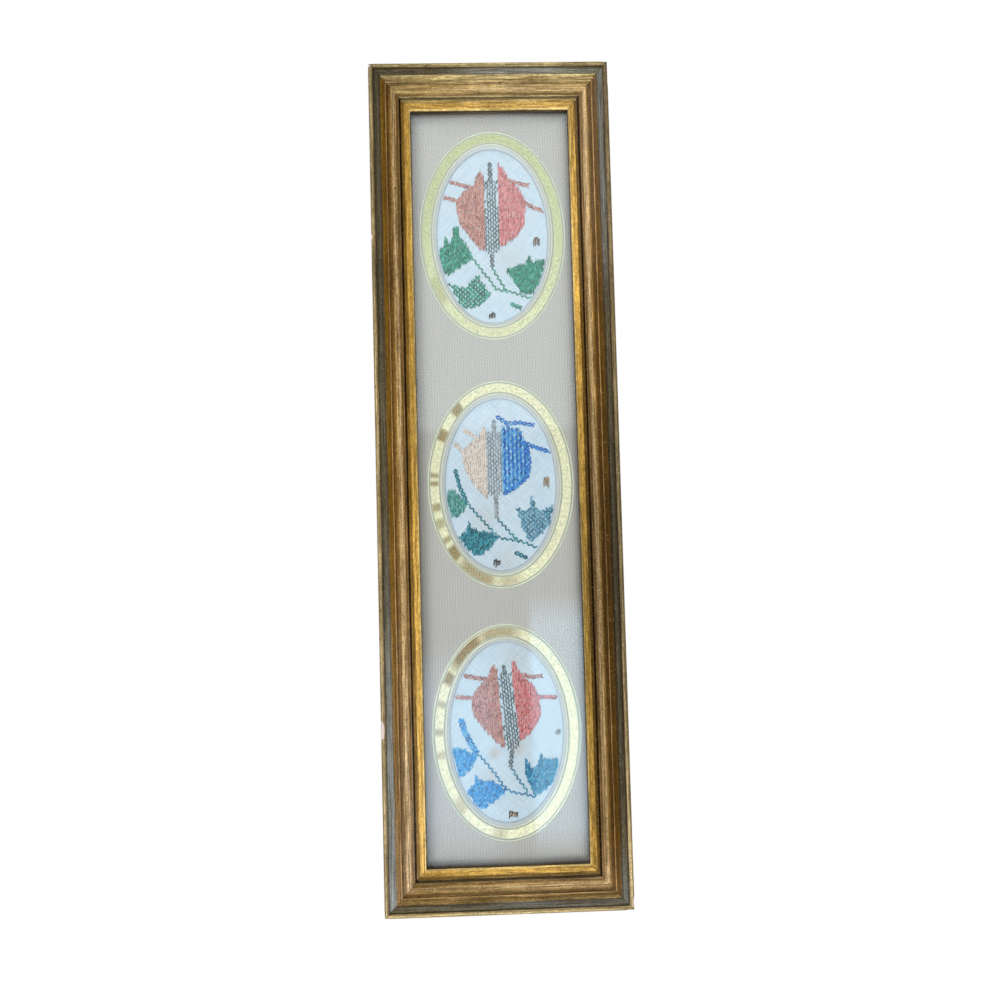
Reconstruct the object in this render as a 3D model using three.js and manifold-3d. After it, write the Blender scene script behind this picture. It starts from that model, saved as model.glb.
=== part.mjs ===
// A tall, narrow picture: three embroidered cloths, one above the other, each behind an oval
// window of one cloth-faced mat, under glass, in a stepped gilt frame with an inner gilt slip.
//
// Millimetres. +X is to the right, +Z is up, and the picture faces -Y. The origin is the middle
// of the top rail's back face, which lies against the wall.

import * as THREE from 'three';
import { mergeVertices } from 'three/addons/utils/BufferGeometryUtils.js';
import Module from 'manifold-3d';

const wasm = await Module();
wasm.setup();

// ---- Driving dimensions ----------------------------------------------------------------------

const OVERALL_WIDTH = 141.5;
const OVERALL_HEIGHT = 495;
const FIT_GAP = 0.3; // left between neighbouring pieces

// Moulding section, measured inward from the frame's outer edge and up from its back face.
const MOULDING_BACK_WIDTH = 11;
const MOULDING_LIP_UNDERSIDE = 13.1;

// Each row is one member of the moulding's face, from the outer edge to the lip. It runs from
// the end of the row above to its own end, and bulge is how far it rounds up (+) or hollows (-).
const MOULDING_FACE = [
  { member: 'outer edge', inward: 0.0, height: 19.9, bulge: 0 },
  { member: 'outer bead', inward: 2.6, height: 20.1, bulge: 1.0 },
  { member: 'bead quirk wall', inward: 2.75, height: 19.4, bulge: 0 },
  { member: 'bead quirk floor', inward: 3.2, height: 19.4, bulge: 0 },
  { member: 'hollow edge', inward: 3.3, height: 19.7, bulge: 0 },
  { member: 'stained hollow', inward: 6.9, height: 19.4, bulge: -0.8 },
  { member: 'slope', inward: 9.25, height: 17.3, bulge: 0.2 },
  { member: 'ridge', inward: 9.9, height: 17.2, bulge: 0.15 },
  { member: 'ridge quirk wall', inward: 10.05, height: 16.3, bulge: 0 },
  { member: 'ridge quirk floor', inward: 10.4, height: 16.2, bulge: 0 },
  { member: 'half round', inward: 15.9, height: 14.9, bulge: 1.4 },
  { member: 'lip step', inward: 16.0, height: 14.6, bulge: 0 },
  { member: 'lip fillet', inward: 17.05, height: 14.5, bulge: 0 },
];

// The slip lies in the moulding's rabbet. Its outer part is tucked under the moulding's lip.
const SLIP_LEG_WIDTH = 6.1;
const SLIP_LEDGE = 9.3; // underside of the slip's own lip, which the glass meets
const SLIP_FACE = [
  { member: 'tucked top', inward: 17.2, height: 12.8, bulge: 0 },
  { member: 'outer hollow', inward: 19.4, height: 12.2, bulge: -0.25 },
  { member: 'arris', inward: 19.6, height: 12.35, bulge: 0 },
  { member: 'gilt flat', inward: 22.5, height: 11.6, bulge: 0.15 },
  { member: 'sight edge', inward: 23.35, height: 10.9, bulge: 0.2 },
];

// What lies in the slip's rabbet, from the front.
const GLASS_THICKNESS = 2.0;
const MAT_THICKNESS = 1.5;
const CLOTH_THICKNESS = 1.0;
const BACKING_THICKNESS = 2.5;

// The mat's oval windows, at the back of their bevels. Across and up are from the middle of the
// picture to the middle of the window.
const BEVEL_WIDTH = 1.65;
const WINDOWS = [
  { place: 'top', across: 0.1, up: 149.6, width: 66.6, height: 106.4 },
  { place: 'middle', across: 1.2, up: -1.3, width: 65.9, height: 103.0 },
  { place: 'bottom', across: 1.0, up: -147.8, width: 66.4, height: 105.4 },
];
const CLOTH_OVERLAP = 8; // of each cloth behind the mat, all round its window

const CURVE_STEPS = 6;
const OVAL_STEPS = 64;

// ---- Derived sizes ---------------------------------------------------------------------------

const MITRE_TRIM = FIT_GAP / Math.SQRT2; // off each rail's end, along the rail
const SLIP_OUTER = MOULDING_BACK_WIDTH + FIT_GAP;
const SLIP_TOP = MOULDING_LIP_UNDERSIDE - FIT_GAP;
const SLIP_INNER_WALL = SLIP_OUTER + SLIP_LEG_WIDTH;
const PANE_MARGIN = SLIP_INNER_WALL + FIT_GAP;

const GLASS_FRONT = SLIP_LEDGE - FIT_GAP;
const MAT_FRONT = GLASS_FRONT - GLASS_THICKNESS - FIT_GAP;
const CLOTH_FRONT = MAT_FRONT - MAT_THICKNESS - FIT_GAP;
const CLOTH_BACK = CLOTH_FRONT - CLOTH_THICKNESS;
const BACKING_FRONT = CLOTH_BACK - FIT_GAP;

const TOP_EDGE = MOULDING_BACK_WIDTH / 2;
const MIDDLE_Z = TOP_EDGE - OVERALL_HEIGHT / 2;
const BOTTOM_EDGE = TOP_EDGE - OVERALL_HEIGHT;

// ---- Finishes --------------------------------------------------------------------------------

const GILT_MOULDING = { color: 0x8a6a34, roughness: 0.45, metalness: 0.5 };
const GILT_SLIP = { color: 0xc09544, roughness: 0.4, metalness: 0.6 };
const GLASS = { color: 0xe8f2f4, roughness: 0.03, metalness: 0, transparent: true, opacity: 0.2 };
const RIBBED_MAT = { color: 0xbdb7b0, roughness: 0.8, metalness: 0 };
const LINEN = { color: 0xd3e4ec, roughness: 0.95, metalness: 0 };
const BOARD = { color: 0x8b6f4e, roughness: 0.9, metalness: 0 };

// ---- Shapes ----------------------------------------------------------------------------------

// Carries an outline along each row of a section table. A bulged member is one curve whose
// middle stands off its chord by the bulge.
function followFace(outline, rows) {
  for (const row of rows) {
    const start = outline.currentPoint.clone();
    const chord = new THREE.Vector2(row.inward, row.height).sub(start);
    const offChord = new THREE.Vector2(-chord.y, chord.x).normalize();
    const control = start.addScaledVector(chord, 0.5).addScaledVector(offChord, 2 * row.bulge);
    if (row.bulge === 0) {
      outline.lineTo(row.inward, row.height);
    } else {
      outline.quadraticCurveTo(control.x, control.y, row.inward, row.height);
    }
  }
}

function mouldingSection() {
  const lipEdge = MOULDING_FACE[MOULDING_FACE.length - 1].inward;
  const outline = new THREE.Shape();
  outline.moveTo(0, 0);
  followFace(outline, MOULDING_FACE);
  outline.lineTo(lipEdge, MOULDING_LIP_UNDERSIDE);
  outline.lineTo(MOULDING_BACK_WIDTH, MOULDING_LIP_UNDERSIDE);
  outline.lineTo(MOULDING_BACK_WIDTH, 0);
  outline.closePath();
  return outline;
}

function slipSection() {
  const sightEdge = SLIP_FACE[SLIP_FACE.length - 1].inward;
  const outline = new THREE.Shape();
  outline.moveTo(SLIP_OUTER, CLOTH_BACK);
  outline.lineTo(SLIP_OUTER, SLIP_TOP);
  followFace(outline, SLIP_FACE);
  outline.lineTo(sightEdge, SLIP_LEDGE);
  outline.lineTo(SLIP_INNER_WALL, SLIP_LEDGE);
  outline.lineTo(SLIP_INNER_WALL, CLOTH_BACK);
  outline.closePath();
  return outline;
}

// A rail of the given section, as long as the frame's side. It lies along X with its outer edge
// at z = 0, its inner side up and its face towards -Y, and both ends are cut at 45 degrees.
function mitredRail(section, side) {
  const options = { depth: 1, bevelEnabled: false, curveSegments: CURVE_STEPS };
  const rail = new THREE.ExtrudeGeometry(section, options);
  const points = rail.getAttribute('position');
  for (let i = 0; i < points.count; i += 1) {
    const inward = points.getX(i);
    const height = points.getY(i);
    const end = points.getZ(i) > 0.5 ? 1 : -1;
    points.setXYZ(i, end * (side / 2 - inward - MITRE_TRIM), -height, inward);
  }
  rail.computeVertexNormals();
  return rail;
}

function toSolid(geometry) {
  const bare = geometry.clone();
  bare.deleteAttribute('normal');
  bare.deleteAttribute('uv');
  const merged = mergeVertices(bare);
  const vertProperties = new Float32Array(merged.getAttribute('position').array);
  const triVerts = new Uint32Array(merged.index.array);
  return new wasm.Manifold(new wasm.Mesh({ numProp: 3, vertProperties, triVerts }));
}

function toGeometry(solid) {
  const mesh = solid.getMesh();
  const geometry = new THREE.BufferGeometry();
  geometry.setAttribute('position', new THREE.BufferAttribute(mesh.vertProperties, 3));
  geometry.setIndex(new THREE.BufferAttribute(mesh.triVerts, 1));
  geometry.computeVertexNormals();
  return geometry;
}

// An oval plug that widens evenly towards the front, so that it cuts a bevelled window.
function windowCutter(window) {
  const plug = new THREE.CylinderGeometry(1, 1, 2, OVAL_STEPS);
  const points = plug.getAttribute('position');
  const overshoot = 1;
  const matBack = MAT_FRONT - MAT_THICKNESS;
  for (let i = 0; i < points.count; i += 1) {
    const inFront = points.getY(i) < 0;
    const height = inFront ? MAT_FRONT + overshoot : matBack - overshoot;
    const spread = (BEVEL_WIDTH * (height - matBack)) / MAT_THICKNESS;
    const x = points.getX(i) * (window.width / 2 + spread) + window.across;
    const z = points.getZ(i) * (window.height / 2 + spread) + window.up;
    points.setXYZ(i, x, -height, z);
  }
  return plug;
}

function matBoard() {
  const width = OVERALL_WIDTH - 2 * PANE_MARGIN;
  const height = OVERALL_HEIGHT - 2 * PANE_MARGIN;
  const board = new THREE.BoxGeometry(width, MAT_THICKNESS, height);
  board.translate(0, -MAT_FRONT + MAT_THICKNESS / 2, 0);
  let solid = toSolid(board);
  for (const window of WINDOWS) {
    solid = solid.subtract(toSolid(windowCutter(window)));
  }
  return toGeometry(solid);
}

function piece(name, geometry, finish) {
  const mesh = new THREE.Mesh(geometry, new THREE.MeshStandardMaterial(finish));
  mesh.name = name;
  return mesh;
}

// A flat rectangular sheet or board whose front face stands the given height off the back.
function panel(name, width, height, thickness, front, finish) {
  const mesh = piece(name, new THREE.BoxGeometry(width, thickness, height), finish);
  mesh.position.y = -front + thickness / 2;
  return mesh;
}

// ---- Assembly --------------------------------------------------------------------------------

const RAIL_PLACES = [
  { place: 'bottom', side: OVERALL_WIDTH, turn: 0, x: 0, z: BOTTOM_EDGE },
  { place: 'top', side: OVERALL_WIDTH, turn: Math.PI, x: 0, z: TOP_EDGE },
  { place: 'left', side: OVERALL_HEIGHT, turn: Math.PI / 2, x: -OVERALL_WIDTH / 2, z: MIDDLE_Z },
  { place: 'right', side: OVERALL_HEIGHT, turn: -Math.PI / 2, x: OVERALL_WIDTH / 2, z: MIDDLE_Z },
];

function fourRails(kind, section, finish) {
  const ring = new THREE.Group();
  for (const rail of RAIL_PLACES) {
    const mesh = piece(`${kind}_${rail.place}`, mitredRail(section, rail.side), finish);
    mesh.rotation.y = rail.turn;
    mesh.position.set(rail.x, 0, rail.z);
    ring.add(mesh);
  }
  return ring;
}

// The glass, mat, cloths and backing board, about the middle of the picture.
function pictureStack() {
  const stack = new THREE.Group();
  const paneWidth = OVERALL_WIDTH - 2 * PANE_MARGIN;
  const paneHeight = OVERALL_HEIGHT - 2 * PANE_MARGIN;
  stack.add(panel('glass', paneWidth, paneHeight, GLASS_THICKNESS, GLASS_FRONT, GLASS));
  stack.add(piece('mat', matBoard(), RIBBED_MAT));
  for (const window of WINDOWS) {
    const width = window.width + 2 * CLOTH_OVERLAP;
    const height = window.height + 2 * CLOTH_OVERLAP;
    const name = `cloth_${window.place}`;
    const cloth = panel(name, width, height, CLOTH_THICKNESS, CLOTH_FRONT, LINEN);
    cloth.position.x = window.across;
    cloth.position.z = window.up;
    stack.add(cloth);
  }
  const boardWidth = OVERALL_WIDTH - 2 * SLIP_OUTER;
  const boardHeight = OVERALL_HEIGHT - 2 * SLIP_OUTER;
  const boardFront = BACKING_FRONT;
  stack.add(panel('backing', boardWidth, boardHeight, BACKING_THICKNESS, boardFront, BOARD));
  stack.position.z = MIDDLE_Z;
  return stack;
}

const picture = new THREE.Group();
picture.add(fourRails('moulding', mouldingSection(), GILT_MOULDING));
picture.add(fourRails('slip', slipSection(), GILT_SLIP));
picture.add(pictureStack());

export default picture;
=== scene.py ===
"""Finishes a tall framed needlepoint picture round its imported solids.

It makes the gilt moulding and slip, the glass, the ribbed mat with its stamped gold ovals, three
linens with their stitched flowers, the backing board, and the floor, lamps and camera.
"""

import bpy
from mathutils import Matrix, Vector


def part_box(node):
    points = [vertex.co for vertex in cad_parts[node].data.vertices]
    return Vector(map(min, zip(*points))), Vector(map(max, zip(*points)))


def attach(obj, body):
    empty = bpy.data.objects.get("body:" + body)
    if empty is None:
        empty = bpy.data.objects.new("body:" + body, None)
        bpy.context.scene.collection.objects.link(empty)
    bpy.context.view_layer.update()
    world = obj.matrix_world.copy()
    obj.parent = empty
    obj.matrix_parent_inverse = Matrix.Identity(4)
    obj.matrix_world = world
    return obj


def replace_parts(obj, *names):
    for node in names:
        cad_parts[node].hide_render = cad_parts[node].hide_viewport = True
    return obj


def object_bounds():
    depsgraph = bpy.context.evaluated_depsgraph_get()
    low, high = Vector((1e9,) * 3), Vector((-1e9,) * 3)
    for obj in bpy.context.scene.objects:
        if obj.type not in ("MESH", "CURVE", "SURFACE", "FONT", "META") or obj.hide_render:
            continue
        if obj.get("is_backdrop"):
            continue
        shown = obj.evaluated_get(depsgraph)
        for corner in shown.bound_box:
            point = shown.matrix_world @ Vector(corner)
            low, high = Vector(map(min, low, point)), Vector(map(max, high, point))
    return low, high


bl_info = {
    "name": "Framed Needlepoint Picture",
    "version": (1, 0, 0),
    "blender": (4, 5, 0),
    "location": "3D View > Sidebar > Picture",
    "description": "Gilt frame, oval mat, linens and stitched flowers of a needlepoint picture",
    "category": "Object",
}

from collections import namedtuple
from math import pi, radians

import bpy
import numpy as np
from bpy.props import FloatProperty, FloatVectorProperty, IntProperty, PointerProperty
from mathutils import Matrix, Vector

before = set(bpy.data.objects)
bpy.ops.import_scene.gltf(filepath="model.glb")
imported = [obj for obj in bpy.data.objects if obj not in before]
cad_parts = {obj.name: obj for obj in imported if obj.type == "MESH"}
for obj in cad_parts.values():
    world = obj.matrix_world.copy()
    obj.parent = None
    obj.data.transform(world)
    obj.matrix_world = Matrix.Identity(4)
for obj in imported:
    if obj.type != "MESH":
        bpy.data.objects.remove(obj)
LOW, HIGH = (np.array(corner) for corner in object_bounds())

MM = 0.001
SEED = 31
UV = "run"  # every mesh's UV map: metres across or round, and metres along


# ---- Sections of the frame, in millimetres -----------------------------------------------------

# A section is a closed outline. Each member runs from the end of the one above to its own end,
# measured inward from the frame's outer edge and up from its back, and rounds up or hollows by
# its bulge. steps is how many pieces it is cut into.
Member = namedtuple("Member", "name inward height bulge finish steps")

MOULDING = (
    Member("back", 0.0, 0.0, 0, "raw_wood", 5),
    Member("outer wall", 0.0, 19.9, 0, "edge_gilt", 12),
    Member("outer bead", 2.6, 20.1, 1.0, "bead_gilt", 14),
    Member("bead quirk wall", 2.75, 19.4, 0, "quirk_wash", 2),
    Member("bead quirk floor", 3.2, 19.4, 0, "quirk_wash", 2),
    Member("hollow edge", 3.3, 19.7, 0, "hollow_stain", 1),
    Member("stained hollow", 6.9, 19.4, -0.8, "hollow_stain", 14),
    Member("slope", 9.25, 17.3, 0.2, "slope_gilt", 12),
    Member("ridge", 9.9, 17.2, 0.15, "ridge_gilt", 5),
    Member("ridge quirk wall", 10.05, 16.3, 0, "groove_gilt", 2),
    Member("ridge quirk floor", 10.4, 16.2, 0, "groove_gilt", 2),
    Member("half round", 15.9, 14.9, 1.4, "round_gilt", 26),
    Member("lip step", 16.0, 14.6, 0, "quirk_wash", 1),
    Member("lip fillet", 17.05, 14.5, 0, "fillet_gilt", 4),
    # The lip's edge is painted dark as the shadow of the gap.
    Member("lip edge", 17.05, 13.1, 0, "gap_umber", 2),
    Member("lip underside", 11.0, 13.1, 0, "raw_wood", 3),
    Member("rabbet wall", 11.0, 0.0, 0, "raw_wood", 6),
)

SLIP = (
    Member("back", 11.3, 3.9, 0, "raw_wood", 3),
    Member("outer wall", 11.3, 12.8, 0, "raw_wood", 4),
    # The slip's top under the moulding's lip is painted dark as shadow.
    Member("tucked top", 17.85, 12.8, 0, "gap_umber", 4),
    Member("gap edge", 17.95, 12.8, 0, "gap_umber", 1),
    Member("outer hollow", 19.4, 12.2, -0.25, "slip_hollow", 10),
    Member("arris", 19.6, 12.35, 0, "slip_sight", 2),
    Member("gilt flat", 22.5, 11.6, 0.15, "slip_flat", 12),
    Member("sight edge", 23.35, 10.9, 0.2, "slip_sight", 6),
    Member("lip edge", 23.35, 9.3, 0, "quirk_wash", 3),
    Member("lip underside", 17.4, 9.3, 0, "raw_wood", 3),
    Member("inner wall", 17.4, 3.9, 0, "raw_wood", 3),
)

SIGHT = max(member.inward for member in SLIP)  # from the frame's outside to the slip's opening

# How much of each finish is metal leaf or bronze powder, how rough it is, and how much it takes
# of the rail's own umber wash, which is partly painted shade, of its paleness, a painted
# reflection, and of the painted light and bluish painted reflection along the rail.
Sheen = namedtuple("Sheen", "leaf roughness wash fade haze")
SHEENS = {
    "raw_wood": Sheen(0.0, 0.85, 0.0, 0.0, 0.0),
    "edge_gilt": Sheen(0.0, 0.45, 0.1, 0.6, 0.3),
    "bead_gilt": Sheen(0.15, 0.36, 0.0, 0.5, 0.1),
    "quirk_wash": Sheen(0.0, 0.6, 0.1, 0.0, 0.2),
    "gap_umber": Sheen(0.0, 0.6, 0.0, 1.1, 0.1),
    "groove_gilt": Sheen(0.0, 0.5, 0.3, 1.0, 0.2),
    "hollow_stain": Sheen(0.0, 0.24, 0.3, 0.1, 1.0),
    "slope_gilt": Sheen(0.2, 0.36, 1.0, 1.3, 0.25),
    "ridge_gilt": Sheen(0.15, 0.34, 0.1, 0.8, 0.2),
    "round_gilt": Sheen(0.15, 0.34, 0.22, 0.7, 0.35),
    "fillet_gilt": Sheen(0.1, 0.4, 0.2, 0.6, 0.2),
    "slip_hollow": Sheen(0.15, 0.36, 1.0, 0.7, 0.2),
    "slip_flat": Sheen(0.2, 0.32, 0.1, 0.2, 0.2),
    "slip_sight": Sheen(0.25, 0.3, 0.25, 0.3, 0.2),
}

# A rail runs from one corner of the frame: which corner, which way along, which way inward, how
# heavily the umber wash lies on its finishes, a real wash that is also painted shade and heavier on
# some rails than others, how much painted shade lies on whatever looks outward and on its bead from
# one end to the other, how much of its face is painted pale as a reflection, how bright its crests
# are rubbed and given a painted highlight, and where they are brightest, which is their middle at 1
# and further in above it.
Rail = namedtuple("Rail", "side corner along inward wash outer_wash bead_wash pale rub crest")
RAILS = (
    Rail("bottom", (0, 0), (1, 0), (0, 1), 0.6, 0.75, (0.0, 0.0), 0.15, 1.0, 1.5),
    Rail("top", (0, 1), (1, 0), (0, -1), 0.0, 0.0, (0.35, 0.35), 0.55, 0.75, 1.5),
    Rail("left", (0, 0), (0, 1), (1, 0), 0.3, 0.55, (0.5, 0.05), 0.0, 1.15, 1.5),
    Rail("right", (1, 0), (0, 1), (-1, 0), 0.75, 0.8, (0.0, 0.85), 0.0, 2.2, 2.6),
)

# Painted light along the rails, with a pale bluish painted reflection on the finishes that take
# it, and painted shade where the strength is below nought: the rail, how far along it the middle
# is, how far it reaches each way, and how strongly.
Haze = namedtuple("Haze", "side along reach strength")
LIGHT_PATCHES = (
    Haze("left", 20, 190, 0.25),
    Haze("left", 470, 210, -0.25),
    Haze("right", 0, 60, 0.12),
    Haze("right", 190, 150, -0.35),
    Haze("right", 470, 190, 0.12),
    Haze("top", 90, 70, 0.14),
    Haze("top", 0, 40, -0.3),
    Haze("bottom", 100, 80, 0.08),
)

# Places where the gilding is knocked off to the gesso: the rail, how far along it the middle is,
# how far round the section from the bead's outer arris, half the length and width, and how deep.
Chip = namedtuple("Chip", "side along across half_length half_width depth")
CHIPS = (
    Chip("left", 105.5, 0.9, 5.4, 1.9, -0.15),
    Chip("left", 391.0, 0.6, 1.6, 0.9, 0.1),
    Chip("left", 494.6, 1.2, 2.2, 1.6, 0.25),
    Chip("right", 488.0, -0.7, 10.5, 1.4, 0.3),
    Chip("right", 4.4, 0.2, 3.3, 1.5, 0.4),
    Chip("bottom", 79.8, 0.0, 1.6, 0.9, 0.3),
    Chip("bottom", 138.5, 0.4, 1.8, 1.0, 0.2),
    Chip("top", 139.6, 0.2, 2.0, 1.4, 0.35),
)
WORN_FACE, WORN_WALL = 17, 15  # above the back, where wear lowers a face or sinks into a wall
ARRIS_WIDTH = 0.3  # how far in from the outer arris the wall counts
ARRIS_REACH = 0.9  # how far round the section the arris is rounded at the frame's corners,
CORNER_REACH = 1.6  # how far from them,
CORNER_ROUNDING = 0.55  # and how much is worn off there
WAVER = 0.07  # how far a rail's face strays from straight
WAVER_HEIGHTS = (9, 13)  # above the back, between which it starts to stray
FACE_STEP = 1.6  # between cross-sections along a rail
MITRE_TRIM = 0.03  # off each end of a rail, so that the glued mitres show as fine lines
MAP_APART = 700  # between two rails on the map, so that no two are streaked alike


# ---- The mat and its ovals, in millimetres -----------------------------------------------------

MAT_FRONT, MAT_BACK = 6.7, 5.2  # above the frame's back
BEVEL_WIDTH = 1.65
FOOT_EASE, TOP_EASE = (0.06, 0.05), (0.08, 0.07)  # of the bevel's arrises, across and up
STAMP_DEPTH = 0.09
STAMP_EDGE = 0.06
EDGE_LIGHT_WIDTH = 0.3  # how far in from its edge the band has its painted highlight
GROOVE_WIDTH = 0.4  # the bare groove outside the last line
FOIL_MARGIN = 0.05  # of that groove, over which its edge fades
CELL_STEPS = (72, 104)  # points across and up the border round each oval
GREEN_LOST = 0.5  # share of the gold's greening that is lost at an oval's foot

# The oval windows: how far each one's middle lies from the mat's, its size, and how far its gold
# has turned green, least of all at its foot.
Window = namedtuple("Window", "place across up width height green")
WINDOWS = (
    Window("top", 0.1, 149.6, 66.6, 106.4, 0.62),
    Window("middle", 1.2, -1.3, 65.9, 103.0, 0.15),
    Window("bottom", 1.0, -147.8, 66.4, 105.4, 0.06),
)

# The stamped gold lines, measured outward from the back of the bevel.
Stamp = namedtuple("Stamp", "name inner outer has_face")
STAMPS = (
    Stamp("inner line", 2.25, 2.95, False),
    Stamp("band", 3.85, 9.05, True),
    Stamp("outer line", 9.9, 10.6, False),
)
BAND = next(stamp for stamp in STAMPS if stamp.has_face)

# Where the band's gold is duller and browner: degrees round the oval from the right,
# anticlockwise, half the length in degrees, how brown it is, and the degrees over which it fades
# out.
DullPatch = namedtuple("DullPatch", "place angle spread strength soft")
DULL_PATCHES = (
    DullPatch("top", 105, 70, 0.3, 40),
    DullPatch("top", 214, 9, 0.45, 3),
    DullPatch("top", 262, 32, 0.12, 20),
    DullPatch("middle", 129, 4.5, 0.9, 2),
    DullPatch("middle", 149, 4, 0.85, 2),
    DullPatch("middle", 174, 1.6, 0.7, 1.5),
    DullPatch("middle", 179, 1.5, 0.75, 1.5),
    DullPatch("middle", 193, 2.5, 0.7, 2),
    DullPatch("middle", 203, 3, 0.6, 3),
    DullPatch("middle", 214, 2, 0.7, 2),
    DullPatch("middle", 224, 5, 0.9, 3),
    DullPatch("middle", 247, 16, 0.7, 10),
    DullPatch("middle", 275, 10, 0.45, 12),
    DullPatch("bottom", 95, 18, 0.65, 16),
    DullPatch("bottom", 125, 14, 0.95, 10),
    DullPatch("bottom", 147, 4, 0.85, 3),
    DullPatch("bottom", 163, 2, 0.6, 2),
    DullPatch("bottom", 179, 2, 0.6, 2),
    DullPatch("bottom", 192, 2, 0.5, 2),
    DullPatch("bottom", 225, 5, 0.45, 4),
    DullPatch("bottom", 262, 6, 0.4, 6),
)


# ---- Stitching, in millimetres -----------------------------------------------------------------

CLOTH_FRONT, CLOTH_BACK = 4.9, 3.9  # above the frame's back
CLOTH_STEP = 1.1
CLOTH_SWELL = 0.03  # of each of the three sines that the cloth's front swells by
WINDOW_MARGIN = 0.55  # that stays clear of stitches inside the bevel

# A filled shape is worked in upright wavy threads: how far apart they stand, the length of a
# wave, how far it swings, the thread's radius, how unevenly it was worked, how much higher the
# turns on the right stand, in half waves, and how light its stitches are, dark to pale.
Filling = namedtuple("Filling", "pitch wave swing radius unevenness slant lot")
FILLINGS = {
    "petal": Filling(1.2, 2.3, 0.3, 0.42, 0.08, 0.5, 0.6),
    "open": Filling(2.4, 4.0, 0.55, 0.68, 0.07, 0.0, 0.45),
    "net": Filling(1.5, 2.7, 0.38, 0.41, 0.09, 0.45, 0.45),
    "leaf": Filling(1.5, 2.8, 0.46, 0.54, 0.14, 0.3, 0.6),
    "loops": Filling(1.5, 2.8, 0.44, 0.58, 0.1, 0.3, 0.5),
    "padding": Filling(0.62, 5.0, 0.08, 0.34, 0.04, 0.3, 0.35),
}
# Strands of one thread and of several: wave, swing and radius, and the gap between threads.
Twist = namedtuple("Twist", "wave swing radius gap")
LONE_TWIST = Twist(3.3, 0.75, 0.42, 0)
CHAIN_TWIST = Twist(2.8, 0.5, 0.52, 1.1)
STRAND_UNEVENNESS, STRAND_LOT = 0.1, 0.5
KNOT_RADIUS, KNOT_LOT = 0.4, 0.4
TUBE_SIDES = 6
TUBE_RINGS = (0.0, 0.22, 0.5, 0.78, 1.0)  # shares of a stitch's length
OVERLAP = 0.14  # how far a stitch runs on at each end, as a share of its length
BOW = 0.06  # how far stitches bow aside
FLATTENED = 0.62  # how high a stitch's section is for its width
LOT_SPREAD = 0.3  # how much lighter and darker the stitches of one thread are

# padding is the yarn of the flatter stitches under a filling. lean is how far its threads step to
# the right for each millimetre up.
Field = namedtuple("Field", "yarn padding filling outline lean", defaults=(0,))
Strand = namedtuple("Strand", "yarn threads points")
Knot = namedtuple("Knot", "yarn across up width height")
Flower = namedtuple("Flower", "fields strands knots")

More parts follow.
